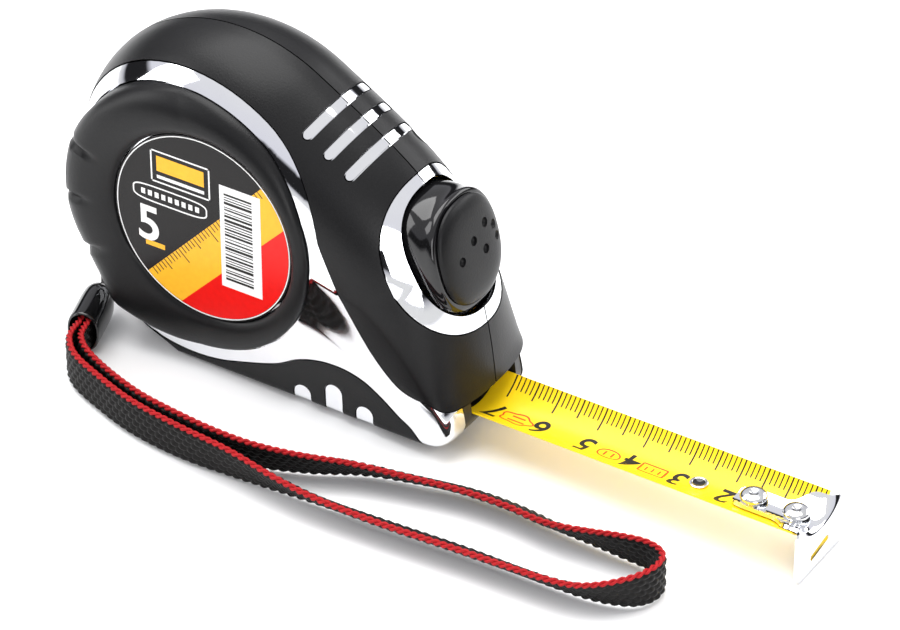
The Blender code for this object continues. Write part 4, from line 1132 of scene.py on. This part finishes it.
STRAP_ROUTE = [
    (-46.3, -20.1, 0, 6.2), (-44.8, -24.3, 0, 6.2), (-43.9, -27.4, 0, 7.6), (-42.2, -31.0, 0, 8.4),
    (-38.4, -34.5, 0, 8.4), (-31.8, -37.4, 0, 8.4), (-21.0, -40.8, 1, 8.4), (-9.0, -42.3, 4, 8.4),
    (3.0, -41.9, 15, 8.4), (14.0, -40.9, 34, 8.4), (24.0, -40.0, 46, 8.4), (38.0, -39.0, 51, 8.4),
    (52.0, -38.1, 51, 8.4), (64.0, -38.0, 48, 8.4), (72.0, -38.0, 45, 8.4), (78.0, -37.7, 40, 8.4),
    (83.0, -36.8, 27, 8.4), (86.8, -34.9, 11, 8.4), (88.5, -31.6, 0, 8.4), (87.6, -27.6, 2, 8.4),
    (83.6, -24.8, 12, 8.4), (78.0, -24.2, 22, 8.4), (71.5, -23.7, 36, 8.4), (63.5, -23.2, 48, 8.4),
    (54.0, -22.2, 51, 8.4), (44.0, -22.6, 52, 8.4), (33.0, -25.2, 49, 8.4), (23.8, -28.2, 43, 8.4),
    (14.8, -33.2, 32, 8.4), (6.0, -36.8, 22, 8.4), (-3.0, -38.8, 11, 8.4), (-12.0, -39.3, 2, 8.4),
    (-21.0, -38.2, 0, 8.4), (-30.0, -35.4, 0, 8.4), (-36.8, -32.4, 0, 8.4), (-40.4, -29.6, 0, 8.2),
    (-42.1, -27.0, 0, 7.2), (-43.3, -23.8, 0, 6.2), (-44.7, -19.6, 0, 6.2),
]
STRAP_Z, STRAP_T, FALL, CLIP_Z = 0.3, 1.4, (-0.0256, 0.0405, -0.0341), 5.1


def along_route(rows, per_step):
    table = np.array(rows, float)
    table = np.vstack([2 * table[0] - table[1], table, 2 * table[-1] - table[-2]])
    out = []
    for j in range(1, len(table) - 2):
        a, b, c, d = table[j - 1:j + 3]
        for k in range(per_step):
            out.append(spline(a, b, c, d, k / per_step))
    out.append(table[-2])
    return np.array(out)


def strap_frames(step):
    """Evenly spaced lower-edge points, width direction, face direction and width."""
    rows = along_route(STRAP_ROUTE, 24)
    ahead = np.gradient(rows[:, :2], axis=0)
    ahead /= np.linalg.norm(ahead, axis=1)[:, None]
    at, up, out = [], [], []
    for (x, y, tilt, width), d in zip(rows, ahead):
        lean = math.radians(tilt)
        u = np.array([0, -math.sin(lean), math.cos(lean)])
        o = np.cross(np.array([d[0], d[1], 0]), u)
        rise = STRAP_Z if width > 8.3 else STRAP_Z + (8.4 - width) / 2
        p = np.array([x, y, rise + STRAP_T / 2 * math.sin(lean)])
        at.append(p + np.array(FALL) * (x + 30.0))
        up.append(u)
        out.append(o / np.linalg.norm(o))
    at, up, out, width = np.array(at), np.array(up), np.array(out), rows[:, 3]
    mid = at + up * width[:, None] / 2
    far = np.concatenate([[0], np.cumsum(np.linalg.norm(np.diff(mid, axis=0), axis=1))])
    total = far[-1]
    spots = np.linspace(0, total, int(total / step))

    def even(values):
        if values.ndim == 1:
            return np.interp(spots, far, values)
        return np.stack([np.interp(spots, far, values[:, k]) for k in range(values.shape[1])], 1)

    up, out = even(up), even(out)
    up /= np.linalg.norm(up, axis=1)[:, None]
    out /= np.linalg.norm(out, axis=1)[:, None]
    return even(at), up, out, even(width), spots, total


def weave(u, v, face):
    """Height of the yarn grains at a distance u along and a share v across."""
    row = v * 6.0
    index = np.floor(row)
    phase = (index + face) % 2 * 0.5
    grain = np.abs(np.sin(math.pi * (u / 1.9 + phase)))
    across = np.abs(np.sin(math.pi * (row - index)))
    return 0.5 * np.power(np.clip(grain, 0, 1), 0.7) * np.power(across, 0.7)


def make_strap():
    at, up, out, width, spots, total = strap_frames(0.27)
    cols = np.linspace(0.0, 1.0, 36)
    half = STRAP_T / 2 - 0.38
    rings = []
    for k in range(len(spots)):
        ring = []
        for face, order in ((-1, cols), (1, cols[::-1])):
            share = np.clip(order, 0.001, 0.999)
            high = weave(np.full(len(cols), spots[k]), share, 0 if face < 0 else 1)
            edge = np.minimum(order, 1 - order) * 6.0
            thick = half * np.sqrt(np.clip(edge / 0.5, 0.12, 1.0)) + high
            for v, t in zip(order, thick):
                ring.append(tuple(at[k] + up[k] * (width[k] * (0.01 + 0.93 * v)) + out[k] * face * t))
        rings.append(ring)
    strap = build("woven_strap", *loft(rings), WEB, 75)
    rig.ride(strap, "case")
    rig.replaces(strap, "wrist_strap")
    # Two-ply red yarn sewn along the upper edge
    yarns = []
    for ply in (0, 1):
        loops = []
        for k in range(len(spots)):
            a = 2 * math.pi * spots[k] / 3.0 + math.pi * ply
            centre = at[k] + up[k] * (width[k] - 0.42)
            centre = centre + (out[k] * math.cos(a) * 1.5 + up[k] * math.sin(a)) * 0.22
            loop = []
            for j in range(8):
                b = 2 * math.pi * j / 8
                loop.append(tuple(centre + (out[k] * math.cos(b) * 1.1 + up[k] * math.sin(b)) * 0.30))
            loops.append(loop)
        yarns.append(loft(loops))
    yarn = build("red_edge", *merge(yarns), RED_YARN, 75)
    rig.ride(yarn, "case")
    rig.slot(yarn, "webbing")
    path = at + up * width[:, None] / 2
    line = [tuple(p * MM) for p in path[::12]] + [tuple(path[-1] * MM)]
    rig.cord(strap, exit=tuple(path[0] * MM), length=total * MM, diameter=0.0084, far_end="object",
            stiffness="limp", lay="loose", path=line, with_pieces=[yarn])


def tube(line, radius, steps=16):
    loops = []
    up = Vector((0.3, 0.2, 1.0))
    for at, ahead in zip(line, np.gradient(np.array(line), axis=0)):
        ahead = Vector(ahead).normalized()
        up = (up - ahead * up.dot(ahead)).normalized()
        side = ahead.cross(up)
        loop = []
        for k in range(steps):
            a = 2 * math.pi * k / steps
            loop.append(tuple(Vector(at) + (up * math.cos(a) + side * math.sin(a)) * radius))
        loops.append(loop)
    return loft(loops)


def oval(at, across, half_wide, half_high, steps=96, power=2.3):
    loop = []
    for k in range(steps):
        c, s = squared(k, steps, power)
        loop.append(tuple(at + across * (c * half_wide) + np.array([0, 0, s * half_high])))
    return loop


def make_clip():
    mouth, tail = np.array([-43.9, -24.6, CLIP_Z]), np.array([-48.2, -11.6, CLIP_Z])
    long = float(np.linalg.norm(tail - mouth))
    axis = (tail - mouth) / long
    across = np.array([axis[1], -axis[0], 0])
    knots = [(0.0, 2.9, 4.2), (0.25, 3.1, 4.4), (0.8, 3.2, 4.5), (3.0, 3.25, 4.52)]
    knots += [(long - 4.6, 3.2, 4.5), (long - 2.2, 2.8, 3.9)]
    knots += [(long - 0.8, 2.3, 2.9), (long - 0.2, 1.95, 2.3), (long, 1.7, 1.9)]
    rows = along_route(knots, 4)
    rings = [oval(mouth + axis * t, across, a, b) for t, a, b in rows]
    clip = build("gloss_ferrule", *loft(rings), GLOSS, 40)
    hollow = loft([oval(mouth + axis * t, across, 2.75, 4.05) for t in (-2.0, 8.2)])
    bore = lathe([(1.35, -4.2), (1.35, 2)], tuple(tail), tuple(axis), 32)
    cut(clip, [tool(hollow), tool(bore)])
    shade(clip, 40)
    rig.ride(clip, "case")
    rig.replaces(clip, "strap_clip")
    spots = [tail - axis * 3.2 - across * 0.62, tail - across * 0.62]
    spots += [tail + axis * 2.4 + np.array([-0.9, 0, 2.2]), LUG_AT + np.array([0.6, -5.0, -3.4])]
    spots += [LUG_AT + np.array([0.1, -3.0, -0.3]), LUG_AT + np.array([0, -0.9, 0])]
    spots += [LUG_AT + np.array([-0.7, 1.2, -0.4]), LUG_AT + np.array([-3.0, 0.6, -1.9])]
    spots += [LUG_AT + np.array([-2.2, -3.0, -5.6]), tail + axis * 2.6 + np.array([0.5, 0, 1.0])]
    spots += [tail + across * 0.62, tail - axis * 3.2 + across * 0.62]
    line = along_route(spots, 12)
    string = build("tie_string", *tube(line, 0.45), CORD, 60)
    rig.ride(string, "case")
    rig.replaces(string, "strap_string")
    total = float(np.linalg.norm(np.diff(line, axis=0), axis=1).sum())
    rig.cord(string, exit=tuple(line[0] * MM), length=total * MM, diameter=0.0009, far_end="object",
            stiffness="limp", lay="taut",
            path=[tuple(p * MM) for p in line[::4]] + [tuple(line[-1] * MM)])


make_strap()
make_clip()
make_case()
make_sides()
make_guide()
make_blade()
make_hook()
make_lock()
for half, word in SIDES:
    make_label(half, word)

# Materials of the CAD nodes that stay
KEPT = {
    "label_left": LABEL_BLACK, "label_right": LABEL_BLACK, "lock_pin": STEEL,
    "brake_shoe": PLASTIC, "blade_coil": YELLOW, "spool": PLASTIC, "centre_post": PLASTIC,
    "mainspring": BLUED, "case_screw_1": STEEL, "case_screw_2": STEEL, "case_screw_3": STEEL,
    "belt_clip": STEEL, "belt_clip_screw": STEEL,
}
for name, mat in KEPT.items():
    node = bpy.data.objects[name]
    node.data.materials.clear()
    node.data.materials.append(mat)

# Floor under the rear edge of the base and the tip of the hook, and soft studio light
slope = 0.0352
corners = [(-1.6, -1.6), (1.6, -1.6), (1.6, 1.6), (-1.6, 1.6)]
sheet = bpy.data.meshes.new("studio_floor")
sheet.from_pydata([(x, y, -slope * (x + 0.03) - 0.0001) for x, y in corners], [], [(0, 1, 2, 3)])
sheet.materials.append(material("studio_white", (0.93, 0.93, 0.93), 0.0, (0.7, 0.8), 40,
                                tint=(0.92, 0.92, 0.92)))
floor = bpy.data.objects.new("studio_floor", sheet)
bpy.context.scene.collection.objects.link(floor)
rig.stage(floor)


def light(name, place, power, size, colour=(1, 1, 1)):
    lamp = bpy.data.lights.new(name, "AREA")
    lamp.energy, lamp.shape, lamp.size, lamp.size_y = power, "RECTANGLE", size[0], size[1]
    lamp.color = colour
    obj = bpy.data.objects.new(name, lamp)
    obj.location = place
    obj.rotation_euler = (Vector(place) - Vector((0.02, 0, 0.02))).to_track_quat("Z", "Y").to_euler()
    bpy.context.scene.collection.objects.link(obj)


light("top", (-0.15, 0.1, 0.9), 13.0, (0.9, 0.9))
light("left", (-0.9, -0.5, 0.45), 5.0, (0.5, 0.8))
light("front", (0.75, -0.75, 0.35), 4.0, (0.5, 0.6))
light("back", (0.5, 0.9, 0.5), 5.0, (0.9, 0.5))

world = bpy.data.worlds.new("studio")
world.use_nodes = True
bpy.context.scene.world = world
tree = world.node_tree
back = tree.nodes["Background"]
back.inputs["Strength"].default_value = 0.85
place = tree.nodes.new("ShaderNodeTexCoord")
parts = tree.nodes.new("ShaderNodeSeparateXYZ")
ramp = tree.nodes.new("ShaderNodeValToRGB")
tree.links.new(place.outputs["Generated"], parts.inputs[0])
tree.links.new(parts.outputs["Z"], ramp.inputs["Fac"])
tree.links.new(ramp.outputs["Color"], back.inputs["Color"])
ramp.color_ramp.elements[0].position = 0.0
ramp.color_ramp.elements[0].color = (0.95, 0.95, 0.95, 1)
ramp.color_ramp.elements[1].position = 1.0
ramp.color_ramp.elements[1].color = (1.0, 1.0, 1.0, 1)
for spot, level in ((0.04, 0.6), (0.07, 0.02), (0.30, 0.02), (0.36, 0.9)):
    stop = ramp.color_ramp.elements.new(spot)
    stop.color = (level, level, level * 1.08, 1)

with open("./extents.json", "w") as out:
    def plain(box_):
        return [[float(v) for v in corner] for corner in box_]
    out.write(__import__("json").dumps({"cad": plain(CAD_BOX), "visual": plain(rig.bounds())}))
